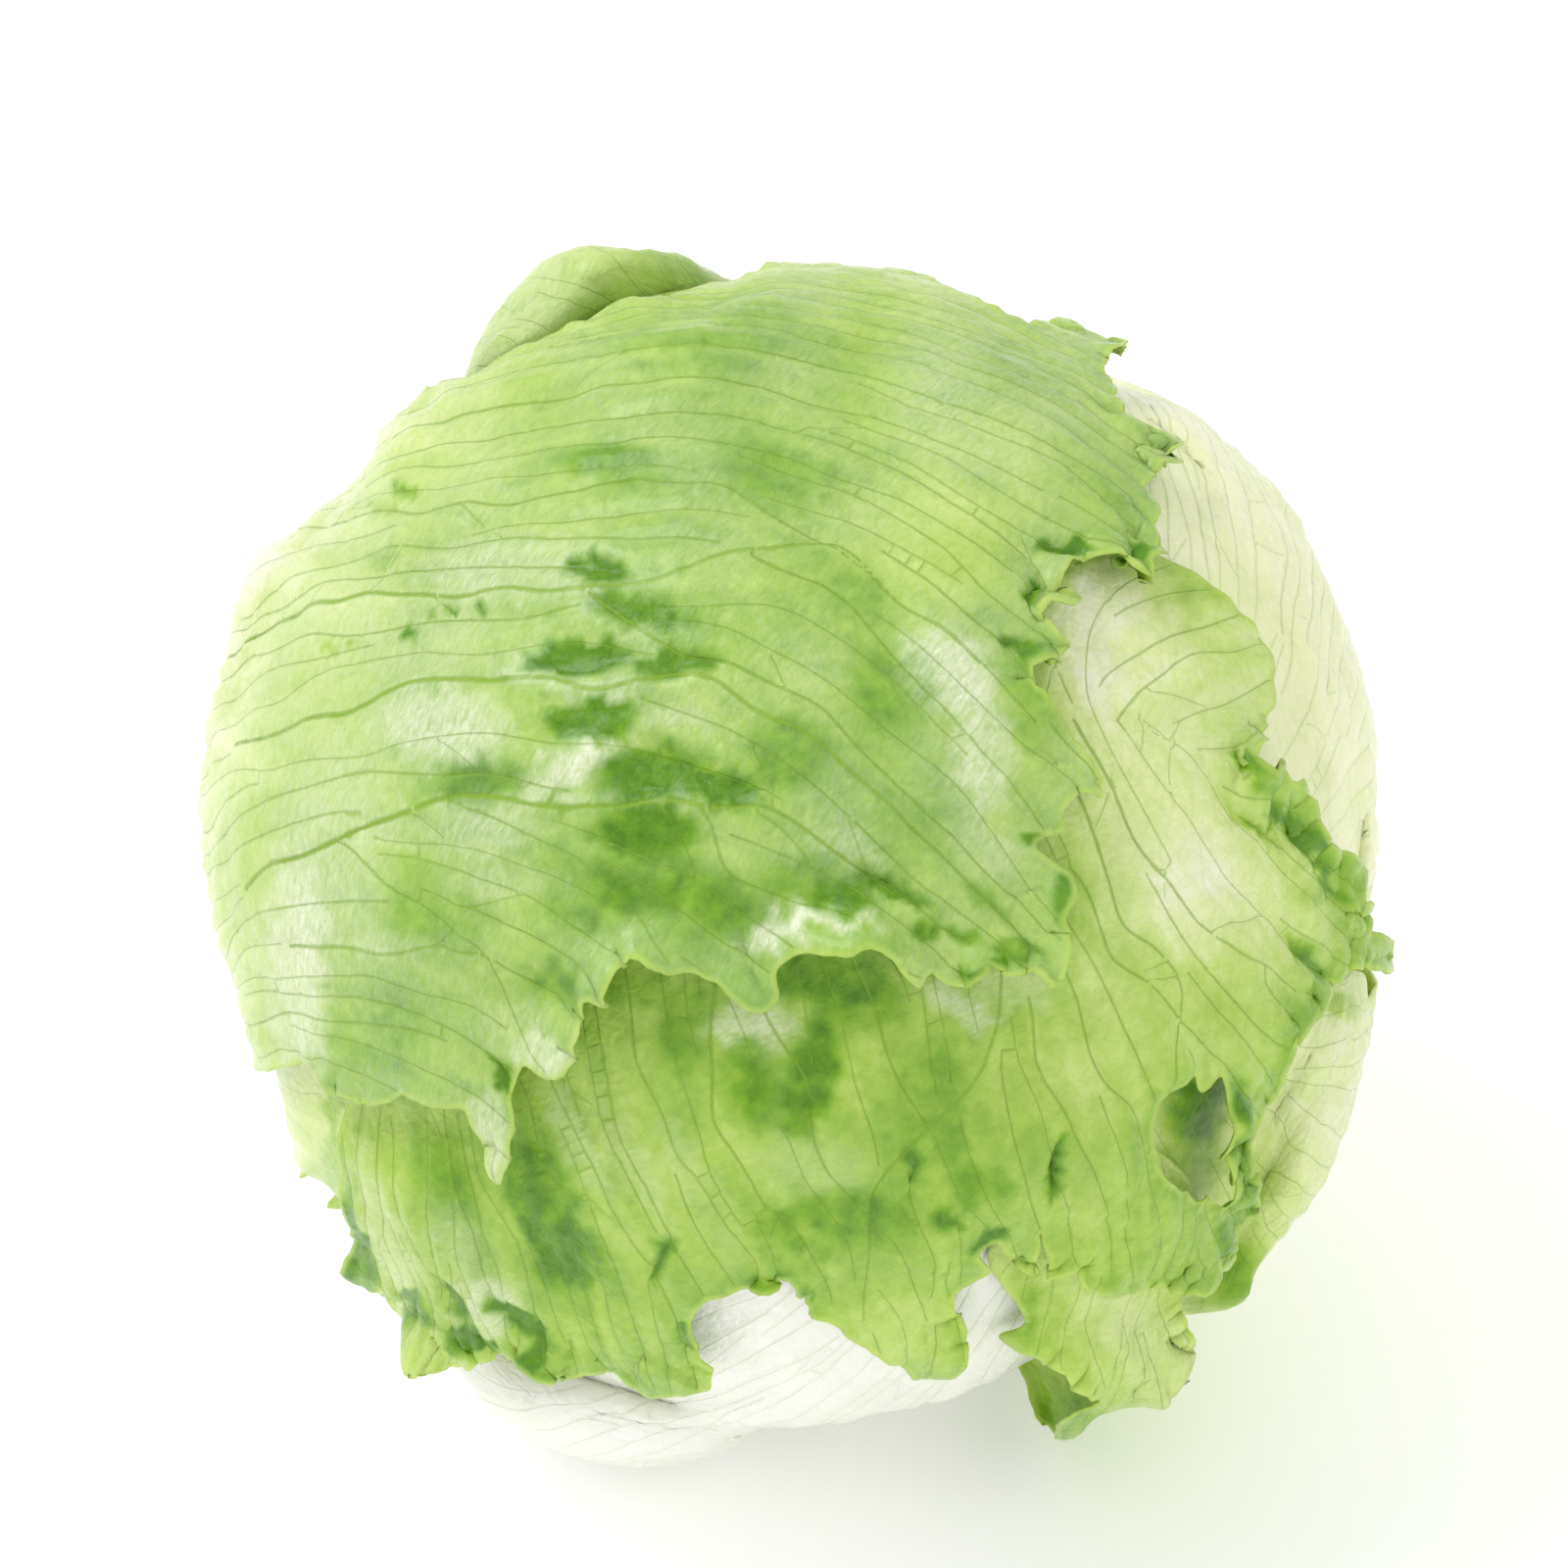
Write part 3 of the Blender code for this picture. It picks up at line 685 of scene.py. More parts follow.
# Ruffles of the free margins: front-view place, height, half-width of the ruffled stretch
ruffles = {
    "leaf_top": [
        ((42, 66), 2.0, 8.0), ((49, 53), 2.4, 8.0), ((46, 39), 2.7, 7.0), ((36, 34), 2.4, 6.0),
        ((33, 25), 1.6, 5.0), ((38, 10), 0.6, 5.0), ((37, -12), 1.0, 7.0), ((24, -16), 1.2, 5.0),
        ((-22, -16), 1.2, 6.0), ((-27, -24), 1.0, 5.0), ((-38, -40), 1.0, 5.0), ((-62, -30), 0.8, 8.0),
    ],
    "leaf_front": [
        ((62, 10), 2.6, 8.0), ((68, -4), 2.8, 9.0), ((74, -8), 2.6, 8.0), ((67, -22), 2.0, 8.0),
        ((61, -40), 2.2, 9.0), ((52, -56), 2.0, 8.0), ((36, -56), 1.6, 8.0), ((24, -62), 0.7, 8.0),
        ((0, -58), 1.0, 8.0), ((-12, -66), 1.2, 6.0), ((-32, -66), 2.0, 7.0), ((-46, -62), 2.6, 9.0),
        ((-57, -54), 1.6, 8.0),
    ],
    "leaf_torn": [((31, -68), 2.0, 8.0), ((48, -66), 2.0, 8.0)],
    "leaf_low_right": [((74, -18), 2.0, 8.0)],
    "leaf_left": [((-62, -46), 2.4, 8.0)],
}

# Places where a margin is lifted off the leaf below: front-view place, height, half-width
lifts = {
    "leaf_top": [
        ((5, -12.5), 4.6, 6.5), ((11, -12), 3.0, 4.5), ((-19.5, -14), 3.0, 6.0), ((-4, -19), 1.5, 5.0),
        ((-31, -27), 3.0, 6.0), ((-25, -17), 2.5, 3.5), ((37, -6), 2.0, 6.0), ((26, -15), 1.5, 4.0),
        ((-48, -32), 1.5, 8.0),
    ],
    "leaf_front": [
        ((58.5, -35), 3.5, 3.0), ((51, -28), 2.2, 3.5), ((38, -44), 0.8, 2.5), ((-51, -64), 1.5, 5.0),
        ((22, -66), 1.0, 5.0), ((-49.5, -68), 3.0, 3.0),
    ],
    "leaf_torn": [((31, -64), 2.5, 4.0), ((34, -75), 5.0, 7.0), ((50, -68), 3.5, 6.0)],
    "leaf_left": [((-64, -46), 7.5, 6.0)],
}

# Torn places in a blade, as front-view points
tears = {
    "leaf_front": [
        [(49.3, -31.7), (51.5, -29.8), (53.2, -29.1), (54.4, -31.4), (56.9, -29.2), (57.2, -34), (56.6, -40.3),
         (58, -42.6), (57, -45), (54.5, -45.5), (51.5, -44), (49, -42), (48.3, -39), (48.2, -35)],
    ],
}

mesh = {
    "inner": 1.6,    # grid of points over the blade
    "edge": 0.85,    # finer grid near the margin
    "edgeBand": 6.0,
    "rim": 0.65,
    "clearance": 0.62,
    "veinGap": 0.40,      # least distance between two veins' points
    "fineLeaves": {"leaf_top": 0.80, "leaf_front": 0.84},
    "thickness": 0.85,
    "rimShare": 0.36,     # thinner at the margin
    "rimReach": 6.0,
}

frills = {
    "from": 40.0,         # degrees from the stem where the blade gets loose, and over how many
    "over": 35.0,
    "wave": 5.6,          # length of one ruffle
    "reach": 4.2,         # how far in from the margin it dies out
    "overhang": 1.1,      # how far a ruffle folds over its neighbour, against its height
    "phase": 2.2,         # how far ruffles stray along the margin, and over what length
    "phaseWave": 26.0,
    "slant": 0.16,
    "reachWave": 15.0,
    "foldShare": 0.7,     # of the reach, for the folding over
    "slowHeight": 0.9,    # slow waves of the free blade
    "slowWave": 22.0,
    "slowReach": 9.0,
    "liftReach": 4.8,     # how far in from the margin a lifted place reaches
    "teeth": (0.34, 0.26),
    "teethWaves": (6.5, 2.9),
}

# The blade between margins: heights of its broad puckers, small puckers and crinkles, and their lengths
puckers = [(1.0, 30.0), (0.50, 12.0), (0.13, 4.5)]
veinSwell = {"height": 0.50, "reach": 1.7, "streak": 0.18}

# The midrib and two pairs of side ribs that fan from the base: angle round the stem and share of the midrib
ribs = {
    "places": ((0.0, 1.0), (0.30, 0.6), (-0.30, 0.6), (0.62, 0.4), (-0.62, 0.4)),
    "start": 7.0,         # the midrib's width at its base
    "height": 2.0,
    "farthest": 120.0,    # degrees from the stem where it ends, and over how many it sinks
    "sink": 80.0,
    "farthestPale": 115.0,
    "paleSink": 60.0,
}

# Greenness: how it wanders, as heights and lengths, and what frills, ribs and streaks add or take
tissue = {"wander": [(0.05, 26.0), (0.02, 10.0)], "frill": 0.05, "rib": 0.35, "streak": 0.045, "most": 0.94}


def prepareLeaf(leaf, number):
    leaf["number"] = number
    leaf["axes"] = chartAxes(leaf["middle"])
    leaf["rim"] = smoothOutline(leaf["outline"], 8.0)
    leaf["flatRim"] = toChart(leaf["rim"], leaf["axes"])


def freeness(number, directions):
    # 1 where no leaf lies over this one, and the thickness of those that do
    free = np.ones(len(directions))
    lift = np.zeros(len(directions))
    for outer in leaves[number + 1:]:
        share = coverage(outer, directions)
        free *= 1.0 - share
        lift += head["bladePitch"] * share
    return free, lift


def angleFrom(directions, place):
    # distance over the head's skin from a front-view place
    return head["radius"] * angleTo(directions, seen([place])[0])


def outwardOf(flat):
    # outward at each point of a closed line in the chart
    run = closedRuns(flat)
    outward = np.stack((run[:, 1], -run[:, 0]), axis=1)
    return outward if signedArea(flat) > 0.0 else -outward


def ruffleHeights(leaf, directions):
    # how high the ruffles stand near each point
    total = np.zeros(len(directions))
    for place, height, width in planFor(ruffles, leaf):
        total = np.maximum(total, height * hump(angleFrom(directions, place), width))
    return total


def toothedRim(leaf):
    # the fine margin: small uneven teeth where it is free
    rim = smoothOutline(leaf["outline"], mesh["rim"])
    flat = toChart(rim, leaf["axes"])
    free, _ = freeness(leaf["number"], rim)
    steps = np.linalg.norm(np.diff(rim * head["radius"], axis=0), axis=1)
    along = np.concatenate(((0.0,), np.cumsum(steps)))
    seed = 40 + leaf["number"]
    teeth = frills["teeth"][0] * waves(along, frills["teethWaves"][0], seed)
    teeth += frills["teeth"][1] * waves(along, frills["teethWaves"][1], seed + 20)
    teeth *= free ** 2 * (0.35 + 0.45 * ruffleHeights(leaf, rim).clip(0.0, 2.5))
    return flat + outwardOf(flat) * teeth[:, None]


def signedArea(outline):
    after = np.roll(outline, -1, axis=0)
    return 0.5 * float(np.sum(outline[:, 0] * after[:, 1] - after[:, 0] * outline[:, 1]))


def hexGrid(low, high, step):
    rows = np.arange(low[1], high[1], step * math.sqrt(0.75))
    places = [
        (column, row)
        for number, row in enumerate(rows)
        for column in np.arange(low[0] + 0.5 * step * (number % 2), high[0], step)
    ]
    return np.array(places)


def gapsTo(tree, places):
    found = [tree.find((place[0], place[1], 0.0)) for place in places]
    return np.array([item[2] for item in found]), np.array([item[1] for item in found])


def pointTree(points):
    tree = KDTree(len(points))
    for index, point in enumerate(points):
        tree.insert((point[0], point[1], 0.0), index)
    tree.balance()
    return tree


def apartFrom(veins):
    # False for a vein point that lies almost on an earlier one
    kept = LineField(1.0)
    found = []
    for place in veins:
        clear = kept.nearest(place)[0] > mesh["veinGap"]
        if clear:
            kept.add([place], [0.0])
        found.append(clear)
    return np.array(found)


def leafLayout(leaf):
    # points and triangles of the blade in its flat chart, with the veins' own points kept in it
    rims = [toothedRim(leaf)]
    for tear in planFor(tears, leaf):
        rims.append(toChart(smoothOutline(seen(tear), mesh["rim"]), leaf["axes"]))
    rim = rims[0]

    def inBlade(places):
        inside = insideOutline(places, rim)
        for hole in rims[1:]:
            inside &= ~insideOutline(places, hole)
        return inside

    rimTree = pointTree(np.concatenate(rims))
    veins, widths, flow = growVeins(leaf, 300 + 10 * leaf["number"])
    kept = inBlade(veins) & (gapsTo(rimTree, veins)[0] > 0.6) & apartFrom(veins)
    veins = veins[kept]
    widths = widths[kept]
    veinTree = pointTree(veins)
    grids = []
    low = rim.min(axis=0)
    high = rim.max(axis=0)
    finer = mesh["fineLeaves"].get(leaf["name"], 1.0)
    for step, nearest, farthest in (
            (mesh["edge"], 0.6 * mesh["edge"], mesh["edgeBand"]), (mesh["inner"], mesh["edgeBand"], 1e9)):
        grid = hexGrid(low, high, step * finer)
        grid = grid[inBlade(grid)]
        gaps, _ = gapsTo(rimTree, grid)
        grid = grid[(gaps > nearest) & (gaps <= farthest)]
        gaps, _ = gapsTo(veinTree, grid)
        grids.append(grid[gaps > mesh["clearance"]])
    edges = []
    offset = 0
    for loop in rims:
        edges += [(offset + index, offset + (index + 1) % len(loop)) for index in range(len(loop))]
        offset += len(loop)
    places = np.concatenate(rims + [veins] + grids)
    for attempt in (1, 2):
        points, _, faces, _, _, _ = delaunay_2d_cdt([tuple(place) for place in places], edges, [], 0, 1e-4, False)
        flat = np.array([tuple(point) for point in points])
        faces = np.array([tuple(face) for face in faces])
        middles = flat[faces].mean(axis=1)
        faces = faces[inBlade(middles)]
        middles = flat[faces].mean(axis=1)
        if attempt == 1:
            # a triangle with a vein at each corner gets a point of its own
            gaps, _ = gapsTo(veinTree, flat)
            between = (gaps[faces] < 0.05).all(axis=1) & (gapsTo(veinTree, middles)[0] > 0.30)
            places = np.concatenate((places, middles[between]))
    return flat, faces, rims, veinTree, widths, flow


# Patches of the blade in the front view: place, amount, half-lengths and heading. Above 0 is darker: partly thinner,
# darker tissue, partly painted shade under lifted margins and in folds and curls
patchesAndShade = {
    "leaf_top": [
        (-26, 38, 0.42, 3.6, 1.6, -10), (-28.5, 26.0, 0.86, 5, 2.0, 5), (-15, 25.3, 0.40, 4.6, 1.6, 5),
        (-26.5, 17.6, 0.84, 4.4, 2.2, 8), (-18.5, 11, 0.34, 6.5, 3.4, 5), (-8.7, 8.6, 0.36, 4, 2.4, -15),
        (-20, 32.5, 0.22, 6, 2, -8), (-41, 9.5, 0.15, 6, 3, 0), (-19.4, 3.5, 0.18, 6, 3, 0),
        (-18.5, -0.3, 0.12, 7, 6, 0), (2.5, -3, 0.12, 4.5, 3, 0), (6.8, -6.4, 0.20, 3.6, 2.0, 0),
        (13.8, -4.8, 0.30, 4.6, 1.2, -25), (-17, -10, 0.06, 10, 5, 0), (-30.8, -17, 0.12, 4, 3, 0),
        (30, -12.8, 0.16, 3.4, 1.2, 0), (35.6, -5, 0.18, 1.2, 3.0, 0), (26, -6, 0.14, 4, 1.0, -35),
        # on the next line, the second: painted shade in a fold pocket of the lower flap
        (26, -14.8, 0.28, 2.4, 0.9, 0), (-38.2, -29.5, 0.50, 2.6, 0.7, -65),
        (18, -10, 0.26, 2.0, 1.4, 0), (-12, -7, 0.05, 6, 5, 0), (23, -11, 0.20, 2.2, 1.1, -30),
        (-24, 52, 0.16, 6, 2.5, -5), (0, 50, 0.10, 9, 4, -12), (4, 34, 0.07, 10, 7, -30), (14, 22, 0.12, 6, 5, 0),
        # the next two lines: darker curl undersides and painted shadow inside the curls of the right margin
        (35.7, 40.6, 0.45, 2.2, 1.0, -15), (45, 38.7, 0.50, 1.7, 1.4, 30), (32.5, 34.8, 0.45, 1.6, 1.0, 30),
        (30, 27.6, 0.50, 2.0, 1.0, -20), (32.3, 1.8, 0.50, 1.2, 0.7, -30), (38.5, 40.6, 0.35, 1.5, 0.8, -45),
        (-50.5, 29.3, 0.40, 1.1, 0.6, 0), (-47.5, 32.4, 0.30, 0.8, 0.6, 0), (-45.2, 32.6, 0.26, 0.8, 0.6, 0),
        (-40.7, 32.6, 0.26, 0.7, 0.6, 0), (-51, 48, 0.24, 1.4, 1.0, 0), (-54, 46, 0.14, 2.0, 1.2, 0),
        (-54, 39, 0.10, 2.6, 0.7, 0), (-58, 28, 0.20, 1.0, 0.6, 0), (-61, 27, 0.16, 1.2, 0.5, 0),
        (-14, 70, 0.10, 16, 6, 0), (-27, -6, 0.10, 6, 4, 0), (-46, -9, 0.10, 7, 4, 0), (0, 14, 0.12, 5, 5, 0),
        (20, 41, -0.10, 8, 7, 0), (-6, -6, 0.10, 6, 4, 0), (25, 51, -0.10, 9, 7, 0), (-14, 29.5, 0.08, 4, 3, 0),
        (-55, -23, 0.08, 7, 5, 0),
    ],
    "leaf_front": [
        # the first: painted shade under the lifted lip of leaf_top
        (4.7, -16.3, 0.26, 7, 3, -5), (10.2, -20, 0.18, 5, 3, 0), (3.1, -29.5, 0.28, 7, 3.2, 75),
        (-5.6, -30.5, 0.20, 5, 3, 100), (-13.8, -23, 0.14, 5, 3, 80), (-20, -18, 0.14, 5, 2.5, 0),
        (16.2, -41.2, 0.50, 1.9, 0.9, 90), (25.6, -44, 0.15, 3.5, 2.5, 0), (20.9, -48.2, 0.30, 2.2, 1.2, -20),
        (26.3, -50.7, 0.45, 2.2, 1.0, 35), (35.1, -41.5, 0.50, 3.2, 1.0, 80), (7.3, -49, 0.16, 9, 4.5, 5),
        (-2, -57.3, 0.36, 3.5, 1.2, 10), (1.8, -59.7, 0.36, 2.5, 1, -60), (-17, -53.5, 0.38, 2.6, 1.0, 70),
        (-12.8, -63.2, 0.40, 2, 1.2, 20), (-32.7, -46.7, 0.22, 9, 4, -75), (-30, -54.5, 0.14, 5, 4, 0),
        (-32.6, -64.3, 0.50, 2, 0.7, 90), (-35.6, -61.7, 0.50, 4, 1.0, -30), (-41.2, -63.9, 0.45, 3.2, 0.9, -10),
        (-45, -59, 0.45, 3.6, 0.9, -50), (-56.5, -52, 0.50, 6, 1.0, -72), (-49.5, -59.5, 0.44, 4, 0.9, -40),
        (-46, -42, 0.10, 7, 3, -70),
        # the next seven: painted shade in the folds of the right ruffles
        (60.5, 11.6, 0.30, 2, 0.8, -40), (61.7, 8.5, 0.18, 1.5, 0.8, 0), (61.4, 3.9, 0.26, 4, 0.8, -40),
        (65.7, 3.8, 0.38, 4, 0.8, -55), (69, 1, 0.36, 6, 0.8, -65), (69.4, -5.2, 0.16, 3, 1.6, 0),
        (68.5, -14.1, 0.34, 4.5, 0.8, -50), (62, -38, 0.10, 4, 1.4, 70), (58, -49, 0.12, 4, 1.4, 45),
        (58.7, -35, 0.22, 5, 1.3, 88), (42, -29, -0.14, 6, 7, 0), (41, 33, -0.20, 5, 4, 0),
        (19, -33, 0.12, 6, 8, 0), (-42, -40, 0.06, 5, 6, 0),
        (31.8, -30, -0.14, 8, 6, 0), (14.5, -63, -0.16, 7, 4, 0), (-53.3, -50, -0.08, 11, 2.2, -72),
        (46, 8, -0.36, 16, 12, -60), (42, 30, -0.34, 9, 9, 0), (60, 26, -0.30, 9, 7, 0), (60, -8, -0.28, 10, 9, 0),
        (46, -14, -0.14, 8, 7, 0), (56, -24, -0.12, 7, 6, 0), (40, -48, -0.02, 7, 5, 0), (30, -14, -0.16, 5, 3, 0),
        (-6, -46, 0.08, 7, 5, 0), (-27, -56, 0.09, 6, 5, 0), (-24, -34, -0.07, 4, 5, 0),
    ],
    "leaf_right": [(72, -10, 0.10, 8, 5, 90), (50, 62, -0.05, 9, 9, 0)],
    "leaf_low_right": [(54, -33, 0.58, 4, 4, 0), (53, -41, 0.30, 4, 4, 0), (58, -56, 0.40, 7, 3.4, 40),
                       (72.4, -19.7, 0.30, 2.4, 1.2, -40), (70, -34, -0.10, 9, 5, 80)],
    "leaf_torn": [(29, -62, 0.24, 2.5, 2, 0), (33, -58, 0.14, 5, 2.4, -50), (37, -60, -0.10, 6, 3, -50),
                  (46, -62, -0.14, 6, 4, -50), (34, -70, 0.24, 4, 2.5, 0), (50, -68, -0.10, 3, 3, 0)],
    # the second and third: painted shadows of the frill
    "leaf_left": [(-62, -46, 0.45, 5, 3, 90), (-60.6, -32.8, 0.9, 2.6, 0.9, 90),
                  (-60.4, -39, 0.8, 2.2, 0.8, 90), (-70, -20, -0.05, 12, 5, 90)],
}

# Painted sheen: a whitish haze painted on the blade where the gloss of the light falls, in the front view: place,
# amount, half-lengths and heading
paintedSheens = {
    "leaf_top": [
        (-52, 31, 0.15, 14, 9, 20), (-45.6, 17, 0.44, 8, 4.4, 0), (-60, 4, 0.18, 7, 14, 0), (-44, 3, 0.20, 10, 3, 0),
        (-65, -16, 0.50, 3.6, 13, 0), (-28.8, 11.5, 0.55, 6, 1.8, 25), (-36, 38, 0.24, 10, 4, 0),
        (-36.4, -22.7, 0.16, 5, 3, 0), (-31.5, -26, 0.40, 4.0, 2.2, 0), (-39, -38, 0.34, 6, 2.2, 100),
        (-1.2, -10, 0.60, 4, 1.8, 25), (5.5, -8.8, 0.50, 5, 1.1, 0), (20.5, 24, 0.50, 5.5, 4.4, -20),
        (25.5, 14, 0.38, 7, 3.4, 90), (9, 1, 0.14, 4, 1.4, -35),
        (26, 1, 0.16, 5, 2.4, -35), (-36, -4, 0.16, 8, 1.8, 0), (-33, 24, 0.34, 5, 1.6, 0),
        (-24, 14, 0.20, 5, 1.6, 0), (-44, 52, 0.06, 12, 4, 35), (-18, 30, 0.12, 6, 2, 0), (24, 58, 0.10, 10, 8, 0),
        (-25, 21.5, 0.30, 4, 0.9, 5), (-38, 7.2, 0.30, 12, 0.6, 0), (-18, 7.6, 0.34, 8, 0.5, 0),
        (-52, -12, 0.20, 8, 1.0, 0), (-15, 18.5, 0.20, 4, 1.4, 0), (-26, 32.5, 0.20, 3, 1.2, -20),
    ],
    "leaf_front": [
        (-5, -22.8, 0.50, 5.5, 2.4, 0), (22.7, -20, 0.40, 5, 1.8, -30), (-40, -60, 0.50, 4, 3, 0),
        (-53.3, -50, 0.20, 11, 2.0, -72), (-28, -38, 0.18, 8, 2, -60), (-20, -42, 0.16, 9, 1.6, -60),
        (-12, -44, 0.14, 9, 2.6, -60), (30, -17, 0.20, 5, 3, 0), (56, 16, 0.12, 9, 6, 0),
        (-44, -52, 0.18, 6, 1.6, -70), (50, -4, 0.10, 9, 8, 0), (2, -42, 0.12, 7, 4, 0),
    ],
    "leaf_crown_back": [(-36, 68, 0.16, 12, 6, 30)],
    "leaf_left": [(-70, -16, 0.30, 14, 6, 90)],
    "leaf_low_right": [(70, -30, 0.14, 8, 5, 80)],
    "leaf_torn": [(44, -62, 0.16, 6, 4, -50)],
}
# painted sheen spread thin over the whole blade
paintedSheenBase = {"leaf_top": 0.18, "leaf_front": 0.06, "leaf_crown_back": 0.12}

# Dents of the blade in the front view: place, depth, half-lengths and heading
dents = {
    "leaf_top": [
        (-27, 25.5, 0.9, 5.5, 1.8, 5), (-15, 25.2, 0.6, 4.5, 1.5, 5), (-26, 38, 0.9, 3.6, 1.6, -10),
        (-27, 18.2, 0.9, 4.2, 1.8, 10), (-18.5, 11, 1.1, 6.5, 3, 5), (-8.7, 8.6, 0.9, 4, 2, -15),
        (13.2, -4.6, 0.9, 5, 1.6, -25), (31, -9, 0.7, 5, 3.5, 0), (-30.8, -17, 0.7, 4, 3, 0),
        (35.7, 40.6, 0.8, 2.2, 1.0, -15), (45, 38.7, 0.9, 1.7, 1.4, 30), (32.5, 34.8, 0.8, 1.6, 1.0, 30),
        (30, 27.6, 0.9, 2.0, 1.0, -20), (-38.2, -29.5, 1.1, 2.6, 0.8, -65), (-13, 76, 1.4, 7, 4, 0),
    ],
    "leaf_front": [
        (35.1, -41.5, 1.2, 3.2, 0.9, 80), (16.2, -41.2, 0.6, 1.9, 1.0, 90), (-17, -53.5, 0.9, 2.6, 1.0, 70),
        (-35.6, -61.7, 1.0, 4, 1.1, -30), (-45, -59, 1.0, 3.6, 1.0, -50), (65.7, 3.8, 1.2, 4, 1.2, -55),
        (69, 1, 1.2, 7, 1.2, -65), (61.4, 3.9, 0.7, 4, 1.1, -40), (68.5, -14.1, 1.1, 4.5, 1.2, -50),
        (3.1, -29.5, 0.8, 7, 3.2, 75), (-32.7, -46.7, 0.8, 9, 4, -75), (7.3, -49, 0.9, 9, 4.5, 5),
    ],
}

# Ridges and creases of the blade: height, half-width and the line they follow in the front view
ridges = {
    "leaf_top": [
        (0.6, 1.2, [(-68, 0), (-60, 4), (-46, 6.8), (-27, 6.5), (-12, 6.6), (-4, 6.2)]),
        (0.5, 1.2, [(-64, 17), (-48, 23), (-38, 23), (-25, 22), (-13, 23.5)]),
        (0.4, 1.2, [(-62, 33), (-49, 35), (-27, 35), (-14, 37.5), (-5, 40.5), (6, 40)]),
        (0.8, 1.3, [(-62, -12.8), (-52, -12.5), (-45, -13.8), (-43, -10.2), (-43.8, -5)]),
        (0.5, 1.3, [(-12, 24), (-4, 19), (6, 12), (14, 5)]),
        (1.2, 2.4, [(-44, 60), (-30, 64), (-12, 68)]),
    ],
    "leaf_front": [
        (0.8, 1.2, [(28, -14), (27, -24), (22, -34), (15, -41), (13, -50)]),
        (0.9, 1.6, [(40, 16), (46, 6), (54, -6), (62, -16)]),
        (0.7, 0.9, [(36, -46), (40, -46.4), (44, -47.5)]),
        (-0.7, 1.2, [(-44, -38), (-44, -48), (-40, -58)]),
    ],
    "leaf_torn": [(2.0, 1.3, [(33, -54), (40, -60), (47, -68)]), (0.9, 1.2, [(41, -57), (46, -62), (48, -67)])],
}

# Places where a blade bellies out: front-view place, height, half-lengths and heading
bulges = {
    "leaf_crown_back": [(-20, 75, 1.8, 8, 5, 0)],
    "leaf_torn": [(40, -72, 6.5, 9, 7, 15)],
    "leaf_low_right": [(56, -60, 5.0, 6, 5, 45)],
    "leaf_front": [(-49.5, -66, 3.5, 3.5, 3, 0)],
}


def frontPlaces(directions):
    # where the front view shows places on the head, and how far they face it
    spots = directions * head["radius"]
    scale = view["distance"] / (view["distance"] - spots @ frontNear)
    facing = smoothStep((directions @ frontNear + 0.05) / 0.15)
    return np.stack((spots @ frontRight * scale, spots @ frontUp * scale), axis=1), facing


def ellipses(plan, flat):
    total = np.zeros(len(flat))
    for across, height, amount, length, width, heading in plan:
        turn = math.radians(heading)
        apart = flat - (across, height)
        along = (apart[:, 0] * math.cos(turn) + apart[:, 1] * math.sin(turn)) / length
        beside = (apart[:, 1] * math.cos(turn) - apart[:, 0] * math.sin(turn)) / width
        total += amount * smoothStep(1.6 - np.hypot(along, beside))
    return total


def ridgeHeights(plan, flat):
    total = np.zeros(len(flat))
    for height, width, points in plan:
        line = openCurve(points, 1.5)
        best = np.full(len(flat), 1e9)
        for start, end in zip(line, line[1:]):
            run = end - start
            share = np.clip((flat - start) @ run / max(float(run @ run), 1e-9), 0.0, 1.0)
            best = np.minimum(best, np.linalg.norm(flat - start - share[:, None] * run, axis=1))
        total += height * hump(best, width)
    return total


def blotches(leaf, directions):
    # darker and paler patches of the blade, the darker ones with broken edges and partly painted shade; and the
    # painted sheen, kept off the darker patches
    flat, facing = frontPlaces(directions)
    seed = 900 + leaf["number"]
    stray = np.stack((waves(flat, 4.0, seed), waves(flat, 4.0, seed + 30)), axis=1)
    plan = planFor(patchesAndShade, leaf)
    darkerAndShade = ellipses([patch for patch in plan if patch[2] > 0.0], flat + 0.6 * stray)
    paler = ellipses([patch for patch in plan if patch[2] < 0.0], flat + 1.2 * stray)
    bloom = ellipses(planFor(paintedSheens, leaf), flat + 0.9 * stray) * facing
    bloom += paintedSheenBase.get(leaf["name"], 0.0) * (1.0 + 0.35 * waves(flat, 20.0, seed + 90))
    bloom *= 1.0 - smoothStep(darkerAndShade * facing / 0.22)
    return (darkerAndShade * (1.0 + 0.30 * waves(flat, 4.0, seed + 60)) + paler) * facing, bloom.clip(0.0, 0.85)


def keepSeen(directions, radius):
    # slides places towards the viewer's axis, so that in the front view they stay where they were read
    offAxis = angleTo(directions, frontNear)
    sideways = unitRows(directions - frontNear * (directions @ frontNear)[:, None])
    front = np.minimum(offAxis, math.radians(view["limb"]))
    shift = front - np.arcsin(np.minimum(np.sin(front) * head["radius"] / radius, 1.0))
    offAxis = offAxis - shift * (1.0 - smoothStep((np.degrees(offAxis) - view["limb"]) / view["limbFade"]))
    return np.cos(offAxis)[:, None] * frontNear + np.sin(offAxis)[:, None] * sideways


